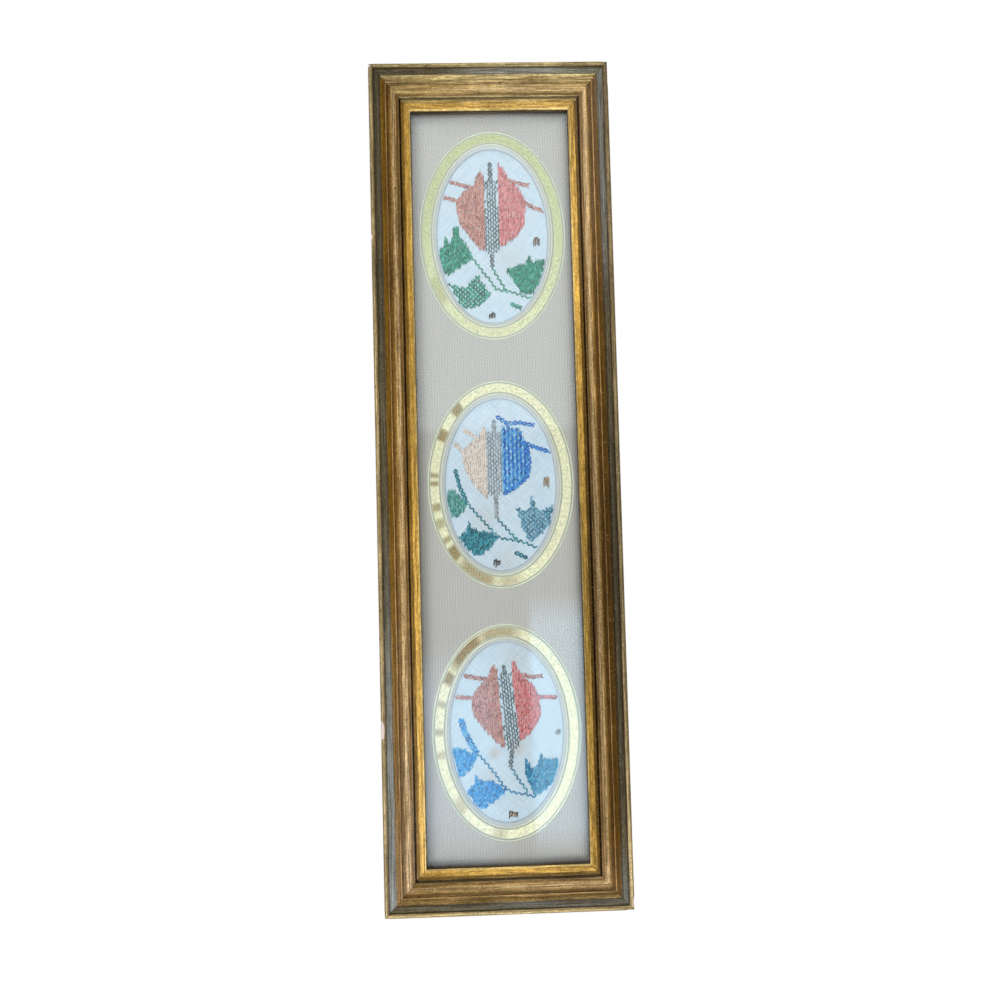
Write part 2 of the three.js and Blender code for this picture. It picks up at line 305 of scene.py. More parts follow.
FLOWERS = {
    "top": Flower(
        fields=(
            Field("slate", None, "net", (
                (-3.7, 34), (3.7, 34), (3.9, -9), (2, -11), (-2.6, -11), (-3.9, -8),
            )),
            Field("terracotta", "terracotta", "petal", (
                (-6.5, 39.5), (-4.5, 37), (-4.5, -9), (-7, -8.5), (-13, -1), (-19.5, 8),
                (-21.5, 20.5), (-17, 27.5), (-10.5, 31), (-8.5, 37.5),
            )),
            Field("rose", "rose", "petal", (
                (4.5, 44), (7.5, 41.5), (11, 34.5), (17, 28.5), (20.5, 20.5), (20, 7.5), (15, 0.5),
                (5.6, -6.5), (4.5, -5),
            )),
            Field("green", "green", "leaf", (
                (-34, -9), (-30, -7), (-28.5, 0), (-26.5, -5), (-24, -2), (-23.5, 6), (-20.5, 6),
                (-19.5, -1.5), (-16, -5), (-12.5, -12), (-16, -16), (-20.5, -18.5), (-27, -23),
                (-33, -22),
            )),
            Field("green", None, "loops", (
                (-27, -29), (-17, -31.5), (-13, -26.5), (-9, -23.5), (-8, -28.5), (-1, -35),
                (-7, -40.5), (-12, -44.5), (-18, -44), (-24, -37),
            )),
            Field("green", "green", "loops", (
                (22, -13), (24, -17), (31.5, -15), (32, -22), (28.5, -30), (22, -36.5), (16, -33.5),
                (12, -27), (8, -21.5), (14.5, -19), (19, -18.5),
            )),
        ),
        strands=(
            Strand("slate", 2, ((-0.4, 45.5), (-0.4, 34))),
            Strand("slate", 2, ((-0.6, -11), (-0.6, -18.5))),
            Strand("terracotta", 2, ((-9.5, 29.5), (-17, 31.5), (-25, 34))),
            Strand("terracotta", 2, ((-19.5, 21.5), (-25, 23.5), (-30, 24.5))),
            Strand("terracotta", 2, ((10.5, 34.5), (17, 32), (23, 31))),
            Strand("terracotta", 2, ((19.5, 20.5), (26, 17), (31.5, 15))),
            Strand("green", 1, ((-13, -12.5), (-6, -22), (2, -33), (11, -34.5), (22, -38.5))),
            Strand("green", 1, ((-1, -18.5), (3, -26), (7.5, -33.5))),
            Strand("green", 2, ((10, -41.5), (17.5, -45))),
        ),
        knots=(
            Knot("brown", 26.5, -3.5, 4, 6),
            Knot("umber", -1.5, -48.8, 4.2, 5),
        ),
    ),
    "middle": Flower(
        fields=(
            Field("grey", None, "net", (
                (-7, 32), (0.6, 32), (0.8, -4), (-1, -7), (-5, -7), (-7.2, -5),
            )),
            Field("peach", "peach", "petal", (
                (-9.5, 36), (-7.7, 32), (-7.7, -6.5), (-10, -6.5), (-15.5, -0.5), (-20.5, 8),
                (-23, 19), (-17, 25.5), (-12, 28.5), (-10.5, 33),
            )),
            Field("blue", "pale_blue", "open", (
                (0.9, 34.5), (6, 34.5), (12, 32.5), (14.5, 27), (17, 22.5), (17, 5.5), (9, -1),
                (0.9, -5.5),
            )),
            Field("jade", "jade", "leaf", (
                (-33.5, -4), (-29.5, -2.5), (-25, -6.5), (-20.5, -11), (-22, -15), (-28, -19.5),
                (-32, -17),
            )),
            Field("teal", "teal", "leaf", (
                (-19.5, -22), (-18, -27), (-9, -28.5), (-2, -31.5), (-8, -38), (-14, -42.5),
                (-20, -38.5), (-25.5, -31), (-21.5, -28),
            )),
            Field("pine", None, "loops", (
                (18.5, -5.5), (20, -13.5), (23.5, -17), (32, -12.5), (31, -20), (25, -29),
                (16.5, -35), (13, -28), (10.5, -20), (8.8, -14.5), (14, -17), (16.8, -14),
            )),
        ),
        strands=(
            Strand("grey", 2, ((-3.2, 39), (-3.2, 32))),
            Strand("grey", 2, ((-3, -7), (-2.8, -20))),
            Strand("peach", 2, ((-13, 27), (-17, 31), (-21.5, 33))),
            Strand("peach", 2, ((-21.5, 19), (-24.5, 23), (-28, 25.5))),
            Strand("blue", 2, ((-1.5, 41), (2, 38.5), (5, 36.5), (12, 37), (21, 35))),
            Strand("blue", 2, ((13.5, 25), (22, 21.5), (30, 19))),
            Strand("blue", 2, ((1.5, -6), (8, -2.5), (16, 4), (17.6, 13), (16.4, 22.5))),
            Strand("teal", 2, ((-27, 9.5), (-24.5, -1), (-20.5, -10.5))),
            Strand("teal", 1, ((-21.5, -9.5), (-12, -20.5), (-2, -32), (12, -34.5), (20.5, -38.5))),
            Strand("teal", 1, ((-2.5, -20.5), (3, -27), (9.5, -34))),
            Strand("teal", 2, ((7.5, -41), (16, -45))),
        ),
        knots=(
            Knot("blue", -3.2, 37, 1.6, 3.4),
            Knot("tan", 27.3, 0.7, 3.5, 6.5),
            Knot("umber", -3.5, -47, 4.6, 5.4),
        ),
    ),
    "bottom": Flower(
        fields=(
            Field("slate", None, "net", lean=-0.08, outline=(
                (-4.1, 34), (3.3, 34), (6.8, -8.5), (5, -11), (0.5, -11), (-0.9, -8),
            )),
            Field("terracotta", "terracotta", "petal", (
                (-7, 39.5), (-5, 36), (-2.2, 0), (-1.2, -10), (-6, -6), (-13, 2), (-18.5, 9),
                (-20.5, 16), (-18.5, 23.5), (-12, 30), (-9.5, 34),
            )),
            Field("rose", "rose", "petal", (
                (4.1, 41.5), (7.5, 37), (10.5, 31), (16, 27), (19.5, 20), (20.5, 9.5), (15, 0),
                (7.6, -5.7), (7, 2), (4.2, 30),
            )),
            Field("sky", "sky", "leaf", (
                (-34, -8.5), (-28, -9), (-23, -11.5), (-18, -13.5), (-21, -20), (-27, -26),
                (-33, -24),
            )),
            Field("sky", "sky", "leaf", (
                (-19.2, -24), (-17.5, -28), (-11, -28.5), (-6, -31), (-1.3, -34), (-6, -38),
                (-10, -41), (-15.2, -45), (-20, -41), (-25.5, -34.5), (-20, -31),
            )),
            Field("azure", "azure", "loops", (
                (10, -14.5), (12, -19), (14.5, -22), (18, -20.5), (19.6, -13), (21.5, -17),
                (26, -18), (31.5, -15.5), (30, -24), (26, -31), (16, -38), (12.5, -31), (10.5, -24),
            )),
        ),
        strands=(
            Strand("slate", 2, ((-0.9, 39), (-0.4, 34))),
            Strand("slate", 2, ((2.8, -11), (1.7, -20.5))),
            Strand("terracotta", 2, ((-11, 31), (-18, 32), (-24.7, 33.6))),
            Strand("terracotta", 2, ((-18.5, 20), (-24, 20.5), (-29.7, 21.2))),
            Strand("terracotta", 2, ((10, 33), (16, 31.5), (22, 32.2))),
            Strand("rose", 2, ((19.5, 19.5), (25, 19.7), (30, 19.2))),
            Strand("sky", 3, ((-26.8, 8.3), (-24.8, 0), (-21.5, -6), (-18, -12))),
            Strand("azure", 1, ((-18, -11.5), (-9, -22.5), (-1.3, -33.5), (3, -35.5), (16, -38.5))),
            Strand("pine", 1, ((1.7, -20.5), (6, -28), (11.5, -35.5))),
        ),
        knots=(
            Knot("grey", 30.2, -1.2, 3, 3.5),
            Knot("tan", 2.2, -48.5, 4, 3.5),
            Knot("umber", 2.4, -48.4, 6, 5.5),
        ),
    ),
}

# Soft old stains on the linens, from each window's middle.
Stain = namedtuple("Stain", "place across up radius strength")
STAINS = (
    Stain("top", 9, -14, 9, 0.25),
    Stain("middle", -9, -20, 7, 0.3),
    Stain("middle", 3, -45, 8, 0.35),
    Stain("bottom", -7.3, -12.6, 3.2, 0.9),
    Stain("bottom", 6.2, -10, 4.5, 0.6),
    Stain("bottom", 8, 44, 9, 0.3),
    Stain("bottom", -12, -26, 6, 0.35),
)


# ---- Settings ----------------------------------------------------------------------------------


def colour(name, description, *parts):
    """A colour setting. Its default is written as 0 to 255 in each part and kept as the linear
    value that a shader takes: a dark part's thirteenth, and about a light part's power of 2.4."""
    parts = np.array(parts) / 255
    linear = np.where(parts <= 0.04045, parts / 12.92, ((parts + 0.055) / 1.055) ** 2.4)
    return FloatVectorProperty(
        name=name,
        description=description,
        subtype="COLOR",
        size=3,
        min=0,
        max=1,
        default=linear.tolist(),
    )


def distance(name, description, default, low, high):
    """A length setting, in metres."""
    return FloatProperty(
        name=name,
        description=description,
        default=default,
        min=low,
        max=high,
        subtype="DISTANCE",
        unit="LENGTH",
        precision=5,
    )


def factor(name, description, default):
    """A setting from 0 to 1."""
    return FloatProperty(
        name=name, description=description, default=default, min=0, max=1, subtype="FACTOR"
    )


class FrameSettings(bpy.types.PropertyGroup):
    """Finishes of the moulding and the slip."""

    raw_wood: colour("Raw Wood", "Ungilded wood in the rabbets and on the back", 150, 118, 82)
    edge_gilt: colour("Edge Gilt", "Outer walls of the frame", 120, 92, 44)
    bead_gilt: colour("Bead Gilt", "Outer bead", 170, 148, 98)
    quirk_wash: colour("Quirk Wash", "Dark wash left in the narrow grooves", 86, 74, 50)
    # Painted shadow in the gap between the moulding and the slip.
    gap_umber: colour("Gap Umber", "Dark gap between the moulding and the slip", 28, 20, 8)
    hollow_stain: colour("Hollow Stain", "Dark stained hollow beside the bead", 100, 92, 70)
    slope_gilt: colour("Slope Gilt", "Slope from the hollow to the ridge", 150, 108, 32)
    groove_gilt: colour("Groove Gilt", "Groove between the ridge and the half round", 104, 66, 20)
    ridge_gilt: colour("Ridge Gilt", "Thin ridge below the slope", 184, 144, 88)
    round_gilt: colour("Half Round Gilt", "Broad half round", 166, 124, 58)
    fillet_gilt: colour("Fillet Gilt", "Flat lip of the moulding", 140, 106, 60)
    slip_hollow: colour("Slip Hollow", "Outer hollow of the slip", 170, 126, 46)
    slip_flat: colour("Slip Flat", "Broad gilt flat of the slip", 208, 162, 74)
    slip_sight: colour("Slip Sight Edge", "Edge of the slip next to the glass", 216, 182, 110)
    gesso: colour("Gesso", "Pale ground where the gilding is chipped off", 222, 200, 190)
    umber: colour("Umber Wash", "Wash rubbed into the gilding", 44, 26, 5)
    # Painted reflection: the pale gilding on the rails' faces.
    pale_gilt: colour("Pale Gilding", "Gilding on the face that has gone pale", 192, 176, 124)
    # Pale bluish painted reflection on the gilding.
    painted_reflection: colour("Varnish Haze", "Hazy old varnish over the gilding", 196, 206, 212)
    # Rubbed gold, with a painted highlight on the crests.
    highlight: colour("Rubbed Gold", "Gilding rubbed bright on the crests", 238, 208, 160)
    streak_strength: factor("Streak Strength", "How strongly the wash streaks along each rail", 0.8)
    speck_strength: factor("Speck Strength", "How dark the spattered specks are", 0.7)


class MatSettings(bpy.types.PropertyGroup):
    """The ribbed mat, its gold stamping and the backing board."""

    rib_pitch: distance(
        "Rib Pitch", "From one rib of the mat's cloth to the next", 1.6 * MM, 0.4 * MM, 5 * MM
    )
    paper: colour("Ribbed Cloth", "Face of the mat", 189, 185, 180)
    core: colour("Bevel Core", "Cut edge of the mat", 208, 214, 214)
    bright_gold: colour("Bright Gold", "Foil lines round the ovals, where they shine", 235, 229, 192)
    green_gold: colour("Greened Gold", "Foil that has turned green", 152, 170, 102)
    dull_gold: colour("Dulled Gold", "Foil where it has gone brown", 148, 122, 82)
    # Painted highlight along the die's edges.
    edge_highlight_gold: colour("Burnished Gold", "Foil along the die's edges", 198, 202, 184)
    # Painted shade in the pressed grooves beside the gold lines.
    groove: colour("Bare Groove", "Pressed grooves beside the gold lines", 156, 158, 140)
    # Painted shade on the mat near the slip, warm with painted light thrown back from the gilding.
    slip_shade: colour("Toning", "Where the mat has darkened near the slip", 96, 84, 66)
    board: colour("Backing Board", "Board at the back", 150, 122, 88)


class StitchSettings(bpy.types.PropertyGroup):
    """The linens and the yarns."""

    thread_pitch: distance(
        "Thread Pitch", "From one thread of the linen to the next", 0.85 * MM, 0.2 * MM, 2 * MM
    )
    linen: colour("Linen", "Ground of all three cloths", 181, 211, 231)
    stain: colour("Linen Stain", "Old stains on the linen", 190, 165, 140)
    terracotta: colour("Terracotta Yarn", "Left petals and tendrils", 200, 128, 110)
    rose: colour("Rose Yarn", "Right petals", 226, 124, 124)
    pale_blue: colour("Pale Blue Yarn", "Padding under the blue petal", 130, 208, 255)
    peach: colour("Peach Yarn", "Left petal of the middle flower", 244, 226, 212)
    blue: colour("Blue Yarn", "Right petal of the middle flower", 6, 116, 216)
    slate: colour("Slate Yarn", "Columns of the outer flowers", 100, 116, 120)
    grey: colour("Grey Yarn", "Column of the middle flower", 158, 164, 170)
    green: colour("Green Yarn", "Leaves of the top flower", 0, 136, 100)
    teal: colour("Teal Yarn", "Leaves of the middle flower", 0, 116, 138)
    jade: colour("Jade Yarn", "Upper leaf of the middle flower", 62, 150, 142)
    pine: colour("Pine Yarn", "Darker leaves and stems", 70, 150, 182)
    sky: colour("Sky Yarn", "Leaves of the bottom flower", 20, 152, 232)
    azure: colour("Azure Yarn", "Right leaf and stem of the bottom flower", 20, 138, 190)
    brown: colour("Brown Yarn", "Knot beside the top flower", 128, 98, 72)
    umber: colour("Umber Yarn", "Dark knots", 60, 48, 40)
    tan: colour("Tan Yarn", "Pale knots", 196, 168, 138)


class StageSettings(bpy.types.PropertyGroup):
    """The floor and the light."""

    floor_drop: distance("Floor Drop", "From the foot of the frame down to the floor", 0.75, 0, 3)
    floor_radius: distance("Floor Radius", "Half the width of the round floor", 1.05, 0.2, 5)
    floor: colour("Floor", "Plain floor", 236, 236, 234)
    room_light: FloatProperty(
        name="Room Light",
        description="Strength of the even light from all round",
        default=0.34,
        min=0,
        max=2,
    )
    image_focus: IntProperty(
        name="Lens Length",
        description="Focal length of the camera in millimetres, on a 36 mm wide sensor",
        default=27,
        min=10,
        max=200,
    )


# ---- Meshes ------------------------------------------------------------------------------------


def grid_quads(rows, columns, wrap_rows=False, wrap_columns=False, first=0):
    """Quads of a grid of points, row by row, and each corner's row and column.

    Quad (i, j) joins points (i, j), (i, j+1), (i+1, j+1) and (i+1, j). A wrapped way goes on
    past its last line to its first, whose corners then count as rows or columns of their own.
    """
    i = np.arange(rows if wrap_rows else rows - 1)
    j = np.arange(columns if wrap_columns else columns - 1)
    i, j = (side.ravel() for side in np.meshgrid(i, j, indexing="ij"))
    corner_row = np.stack([i, i, i + 1, i + 1], axis=1)
    corner_column = np.stack([j, j + 1, j + 1, j], axis=1)
    corners = first + (corner_row % rows) * columns + corner_column % columns
    return corners, corner_row, corner_column


def enclosed_volume(points, faces):
    """Six times the volume that closed faces enclose: the sum over fans of triangles of the
    triple product of their corners. It is negative where the faces point inward."""
    total = 0.0
    for group in faces:
        for corner in range(1, group.shape[1] - 1):
            a, b, c = (points[group[:, k]] for k in (0, corner, corner + 1))
            total += np.einsum("ij,ij->", a, np.cross(b, c))
    return total


def add_piece(name, points, faces, materials, values, corner_uv=None, tint=None, kinds=None):
    """A new mesh object of the picture, made from whole arrays, that rides on its body.

    faces is a list of arrays, one for each number of corners, and corner_uv is a list to match.
    values has numbers by name and tint has colours, one for each point. kinds is each face's
    material number.
    """
    if enclosed_volume(points - points.mean(axis=0), faces) < 0:
        faces = [group[:, ::-1] for group in faces]
        corner_uv = corner_uv and [group[:, ::-1] for group in corner_uv]
    corners = np.concatenate([group.ravel() for group in faces])
    sizes = np.concatenate([np.full(len(group), group.shape[1]) for group in faces])
    mesh = bpy.data.meshes.new(name)
    mesh.vertices.add(len(points))
    mesh.vertices.foreach_set("co", points.astype(np.float32).ravel())
    mesh.loops.add(len(corners))
    mesh.loops.foreach_set("vertex_index", corners.astype(np.int32))
    mesh.polygons.add(len(sizes))
    mesh.polygons.foreach_set("loop_start", (np.cumsum(sizes) - sizes).astype(np.int32))
    mesh.update(calc_edges=True)
    mesh.polygons.foreach_set("use_smooth", np.ones(len(sizes), bool))
    if corner_uv is not None:
        uv = np.concatenate([group.reshape(-1, 2) for group in corner_uv])
        mesh.uv_layers.new(name=UV).data.foreach_set("uv", uv.astype(np.float32).ravel())
    for layer, numbers in values.items():
        attribute = mesh.attributes.new(layer, "FLOAT", "POINT")
        attribute.data.foreach_set("value", numbers.astype(np.float32))
    if tint is not None:
        attribute = mesh.attributes.new("tint", "FLOAT_COLOR", "POINT")
        rgba = np.concatenate([tint, np.ones((len(tint), 1))], axis=1)
        attribute.data.foreach_set("color", rgba.astype(np.float32).ravel())
    for material in materials:
        mesh.materials.append(material)
    if kinds is not None:
        mesh.polygons.foreach_set("material_index", kinds.astype(np.int32))
    if mesh.validate():
        raise RuntimeError(f"{name}: the mesh had faces that Blender could not keep")
    piece = bpy.data.objects.new(name, mesh)
    bpy.context.scene.collection.objects.link(piece)
    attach(piece, "root")
    return piece


def material_of(name, build, *values):
    """The material of that name, which build makes the first time it is asked for."""
    found = bpy.data.materials.get(name)
    if found is None:
        found = bpy.data.materials.new(name)
        found.use_nodes = True
        found.node_tree.nodes.clear()
        build(Nodes(found.node_tree), *values)
    return found


# ---- Shader nodes ------------------------------------------------------------------------------

MIX_SHARE, MIX_FIRST, MIX_SECOND, MIX_RESULT = 0, 6, 7, 2  # a Mix node's sockets for colours


class Nodes:
    """Adds nodes to one tree. Wherever a value is wanted, a socket may be given instead."""

    def __init__(self, tree):
        self.tree = tree

    def feed(self, socket, value):
        if isinstance(value, bpy.types.NodeSocket):
            self.tree.links.new(value, socket)
        else:
            socket.default_value = value

    def add(self, kind, inputs=None, **settings):
        node = self.tree.nodes.new(kind)
        for name, value in settings.items():
            setattr(node, name, value)
        for name, value in (inputs or {}).items():
            self.feed(node.inputs[name], value)
        return node

    def math(self, operation, *values, clamp=False):
        node = self.add("ShaderNodeMath", operation=operation, use_clamp=clamp)
        for socket, value in zip(node.inputs, values):
            self.feed(socket, value)
        return node.outputs[0]

    def times(self, first, second):
        return self.math("MULTIPLY", first, second)

    def mix(self, share, first, second, blend="MIX"):
        """A colour that goes from first to second as share goes from 0 to 1."""
        node = self.add("ShaderNodeMix", data_type="RGBA", blend_type=blend)
        self.feed(node.inputs[MIX_SHARE], share)
        for number, value in ((MIX_FIRST, first), (MIX_SECOND, second)):
            is_socket = isinstance(value, bpy.types.NodeSocket)
            self.feed(node.inputs[number], value if is_socket else (*value, 1))
        return node.outputs[MIX_RESULT]

    def over(self, base, mask, strength, colour):
        """A colour laid over the base where the mask is, as strongly as strength at most."""
        return self.mix(self.times(mask, strength), base, colour)

    def scale(self, tint, amount):
        """A colour times a number."""
        return self.mix(1.0, tint, amount, "MULTIPLY")

    def blend(self, share, first, second):
        """A number that goes from first to second as share goes from 0 to 1."""
        inputs = {"Value": share, "To Min": first, "To Max": second}
        return self.add("ShaderNodeMapRange", inputs).outputs[0]

    def step(self, value, low, high):
        """0 at low, 1 at high, straight between and held outside."""
        inputs = {"Value": value, "From Min": low, "From Max": high}
        return self.add("ShaderNodeMapRange", inputs).outputs[0]

    def ridges(self, turns):
        """Rounded ridges, one for each turn: the sine of half a turn for each, never negative."""
        return self.math("ABSOLUTE", self.math("SINE", self.times(turns, pi)))

    def stretch(self, vector, scale, turn=(0, 0, 0)):
        inputs = {"Vector": vector, "Scale": scale, "Rotation": turn}
        return self.add("ShaderNodeMapping", inputs).outputs[0]

    def noise(self, vector, scale, detail=2.0, roughness=0.5):
        inputs = {"Vector": vector, "Scale": scale, "Detail": detail, "Roughness": roughness}
        return self.add("ShaderNodeTexNoise", inputs).outputs["Fac"]

    def drawn_noise(self, vector, per_metre, detail=2.0, roughness=0.5):
        """Noise that is squeezed or drawn out, with so many swells per metre each way."""
        return self.noise(self.stretch(vector, per_metre), 1.0, detail, roughness)

    def place(self):
        """Where a point is on the picture, in metres."""
        return self.add("ShaderNodeTexCoord").outputs["Object"]

    def run(self):
        """Metres across and along the piece, from its own map."""
        return self.add("ShaderNodeUVMap", uv_map=UV).outputs[0]

    def value(self, name):
        return self.add("ShaderNodeAttribute", attribute_name=name).outputs["Fac"]

    def tint(self):
        return self.add("ShaderNodeAttribute", attribute_name="tint").outputs["Color"]

    def parts(self, vector):
        return self.add("ShaderNodeSeparateXYZ", {"Vector": vector}).outputs

    def in_from_slip(self):
        """How far a point lies inside the slip's opening, from its nearest side."""
        half, middle = (HIGH - LOW) / 2 - SIGHT * MM, (HIGH + LOW) / 2
        place = self.parts(self.place())
        gaps = []
        for k in (0, 2):
            away = self.math("ABSOLUTE", self.math("SUBTRACT", place[k], middle[k]))
            gaps.append(self.math("SUBTRACT", half[k], away))
        return self.math("MAXIMUM", self.math("MINIMUM", *gaps), 0.0)

    def group(self, name, inputs, outputs, build):
        """Places the node group of that name and gives its outputs.

        inputs are its values by name, a place first and then numbers. build makes the group
        the first time: it gets the group's own nodes and inputs, and gives its outputs.
        """
        found = bpy.data.node_groups.get(name)
        if found is None:
            found = bpy.data.node_groups.new(name, "ShaderNodeTree")
            for number, label in enumerate(inputs):
                kind = "NodeSocketFloat" if number else "NodeSocketVector"
                found.interface.new_socket(label, in_out="INPUT", socket_type=kind)
            for label in outputs:
                found.interface.new_socket(label, in_out="OUTPUT", socket_type="NodeSocketFloat")
            nodes = Nodes(found)
            made = build(nodes, nodes.add("NodeGroupInput").outputs)
            nodes.add("NodeGroupOutput", dict(zip(outputs, made)))
        return self.add("ShaderNodeGroup", inputs, node_tree=found).outputs

    def finish(self, base, roughness, height, depth, metallic=0.0, **plain):
        """A Principled surface: its colour, its roughness and the relief of its bumps, which
        stand as deep as given. plain values are set on the socket."""
        bump = self.add("ShaderNodeBump", {"Height": height, "Distance": depth}).outputs[0]
        inputs = {"Base Color": base, "Roughness": roughness, "Metallic": metallic, "Normal": bump}
        inputs.update((name.replace("_", " "), value) for name, value in plain.items())
        self.out(self.add("ShaderNodeBsdfPrincipled", inputs).outputs[0])

    def out(self, shader):
        self.add("ShaderNodeOutputMaterial", {"Surface": shader})


def streaks(nodes, run, across, along):
    """Fine marks that run along a piece: noise squeezed across it and drawn out along it, so many
    per metre each way."""

    def build(nodes, given):
        x, y, _ = nodes.parts(given["Run"])
        x = nodes.times(x, given["Per Metre Across"])
        y = nodes.times(y, given["Per Metre Along"])
        fine = nodes.add("ShaderNodeCombineXYZ", {"X": x, "Y": y}).outputs[0]
        lines = nodes.noise(fine, 1.0, 3.0, 0.6)
        broad = nodes.drawn_noise(fine, (0.35, 0.2, 1))
        return [nodes.step(nodes.math("ADD", lines, nodes.times(broad, 0.6)), 0.7, 0.95)]

    inputs = {"Run": run, "Per Metre Across": across, "Per Metre Along": along}
    return nodes.group("Streaks Along", inputs, ["Streak"], build)[0]


def specks(nodes, place, per_metre, size, share):
    """Small round spots: near the middle of those Voronoi cells whose own number is low."""

    def build(nodes, given):
        inputs = {"Vector": given["Place"], "Scale": given["Per Metre"]}
        cells = nodes.add("ShaderNodeTexVoronoi", inputs).outputs
        own = nodes.parts(cells["Color"])
        near = nodes.math("LESS_THAN", cells["Distance"], nodes.times(own[1], given["Size"]))
        return [nodes.times(near, nodes.math("LESS_THAN", own[0], given["Share"]))]

    inputs = {"Place": place, "Per Metre": per_metre, "Size": size, "Share": share}
    return nodes.group("Specks", inputs, ["Speck"], build)[0]


def mottle(nodes, place, per_metre):
    """Soft uneven age: two sizes of noise, from 0 to 1 with most of it in the middle."""

    def build(nodes, given):
        broad = nodes.noise(given["Place"], given["Per Metre"], 3.0, 0.55)
        fine = nodes.noise(given["Place"], nodes.times(given["Per Metre"], 7.0), 2.0)
        both = nodes.math("ADD", nodes.times(broad, 0.7), nodes.times(fine, 0.3))
        return [nodes.step(both, 0.3, 0.7)]

    inputs = {"Place": place, "Per Metre": per_metre}
    return nodes.group("Mottle", inputs, ["Mottle"], build)[0]


def plain_weave(nodes, place, per_metre):
    """Threads over and under: rounded ridges both ways, the upper one chosen by a chequer."""

    def build(nodes, given):
        across, _, along = nodes.parts(given["Place"])
        bend = nodes.noise(given["Place"], 260.0, 2.0)
        bend = nodes.times(nodes.math("SUBTRACT", bend, 0.5), 0.9)
        pitch = given["Per Metre"]
        turns = [nodes.math("MULTIPLY_ADD", way, pitch, bend) for way in (across, along)]
        chequer = nodes.times(*(nodes.math("SINE", nodes.times(turn, pi)) for turn in turns))
        over = nodes.step(chequer, -0.15, 0.15)
        high = nodes.blend(over, *(nodes.ridges(turn) for turn in turns))
        upright = nodes.drawn_noise(given["Place"], (1900, 1, 70), 1.0)
        level = nodes.drawn_noise(given["Place"], (70, 1, 1900), 1.0)
        slub = nodes.step(nodes.blend(over, upright, level), 0.35, 0.65)
        return [high, slub]

    inputs = {"Place": place, "Per Metre": per_metre}
    return nodes.group("Plain Weave", inputs, ["Height", "Slub"], build)


def twisted_yarn(nodes, run, turns):
    """Two plies round each other: slanting ridges on the run along and round a stitch, fibres,
    and the crevice on either side, where a stitch turns down to the cloth."""

    def build(nodes, given):
        round_way, along, _ = nodes.parts(given["Run"])
        turn = nodes.math("MULTIPLY_ADD", along, given["Turns Per Metre"], round_way)
        ridge = nodes.ridges(nodes.times(turn, 2.0))
        fibres = nodes.drawn_noise(given["Run"], (9, 2600, 1))
        off_cloth = nodes.math("SINE", nodes.times(round_way, pi * 2))
        crevice = nodes.step(off_cloth, 0.65, -0.1)
        return [nodes.math("ADD", ridge, nodes.times(fibres, 0.5)), fibres, crevice]

    inputs = {"Run": run, "Turns Per Metre": turns}
    return nodes.group("Twisted Yarn", inputs, ["Height", "Fibre", "Crevice"], build)


# ---- Materials ---------------------------------------------------------------------------------

# Shades that are mixed into the colours of the settings, as linear values.
GESSO_DUST = (0.86, 0.74, 0.66)
RIB_SHADE = (0.2, 0.18, 0.165)
AGED_CLOTH = (0.42, 0.36, 0.3)
CLOTH_FIBRE = (0.66, 0.63, 0.6)
CLOTH_SPOT = (0.25, 0.2, 0.15)
BROKEN_FOIL = (0.12, 0.08, 0.03)
CORE_LAYER = (0.3, 0.33, 0.36)
CORE_CONTACT_SHADOW = (0.12, 0.13, 0.16)
LINEN_SHADE = (0.5, 0.56, 0.62)
LINEN_SLUB = (0.95, 0.98, 1.0)
AGED_LINEN = (0.7, 0.68, 0.62)
LINT = (0.3, 0.27, 0.24)
BOARD_FIBRE = (0.42, 0.3, 0.18)
FOXING = (0.2, 0.13, 0.07)
BOARD_FLECK = (0.12, 0.08, 0.04)
FLOOR_SHADE = (0.7, 0.7, 0.7)
GLASS_TINT = (0.985, 0.995, 0.99, 1)
GLASS_SHADE = (0.95, 0.96, 0.955, 1)
GLASS_IOR = 1.33
YARN_TURNS = 620.0  # per metre
MOULDING_STREAKS, SLIP_STREAKS = (1350.0, 32.0), (1200.0, 45.0)  # per metre, across and along
SLIP_SHADE_REACH = 2.4 * MM  # from the slip to where the mat's painted shade is half as dark
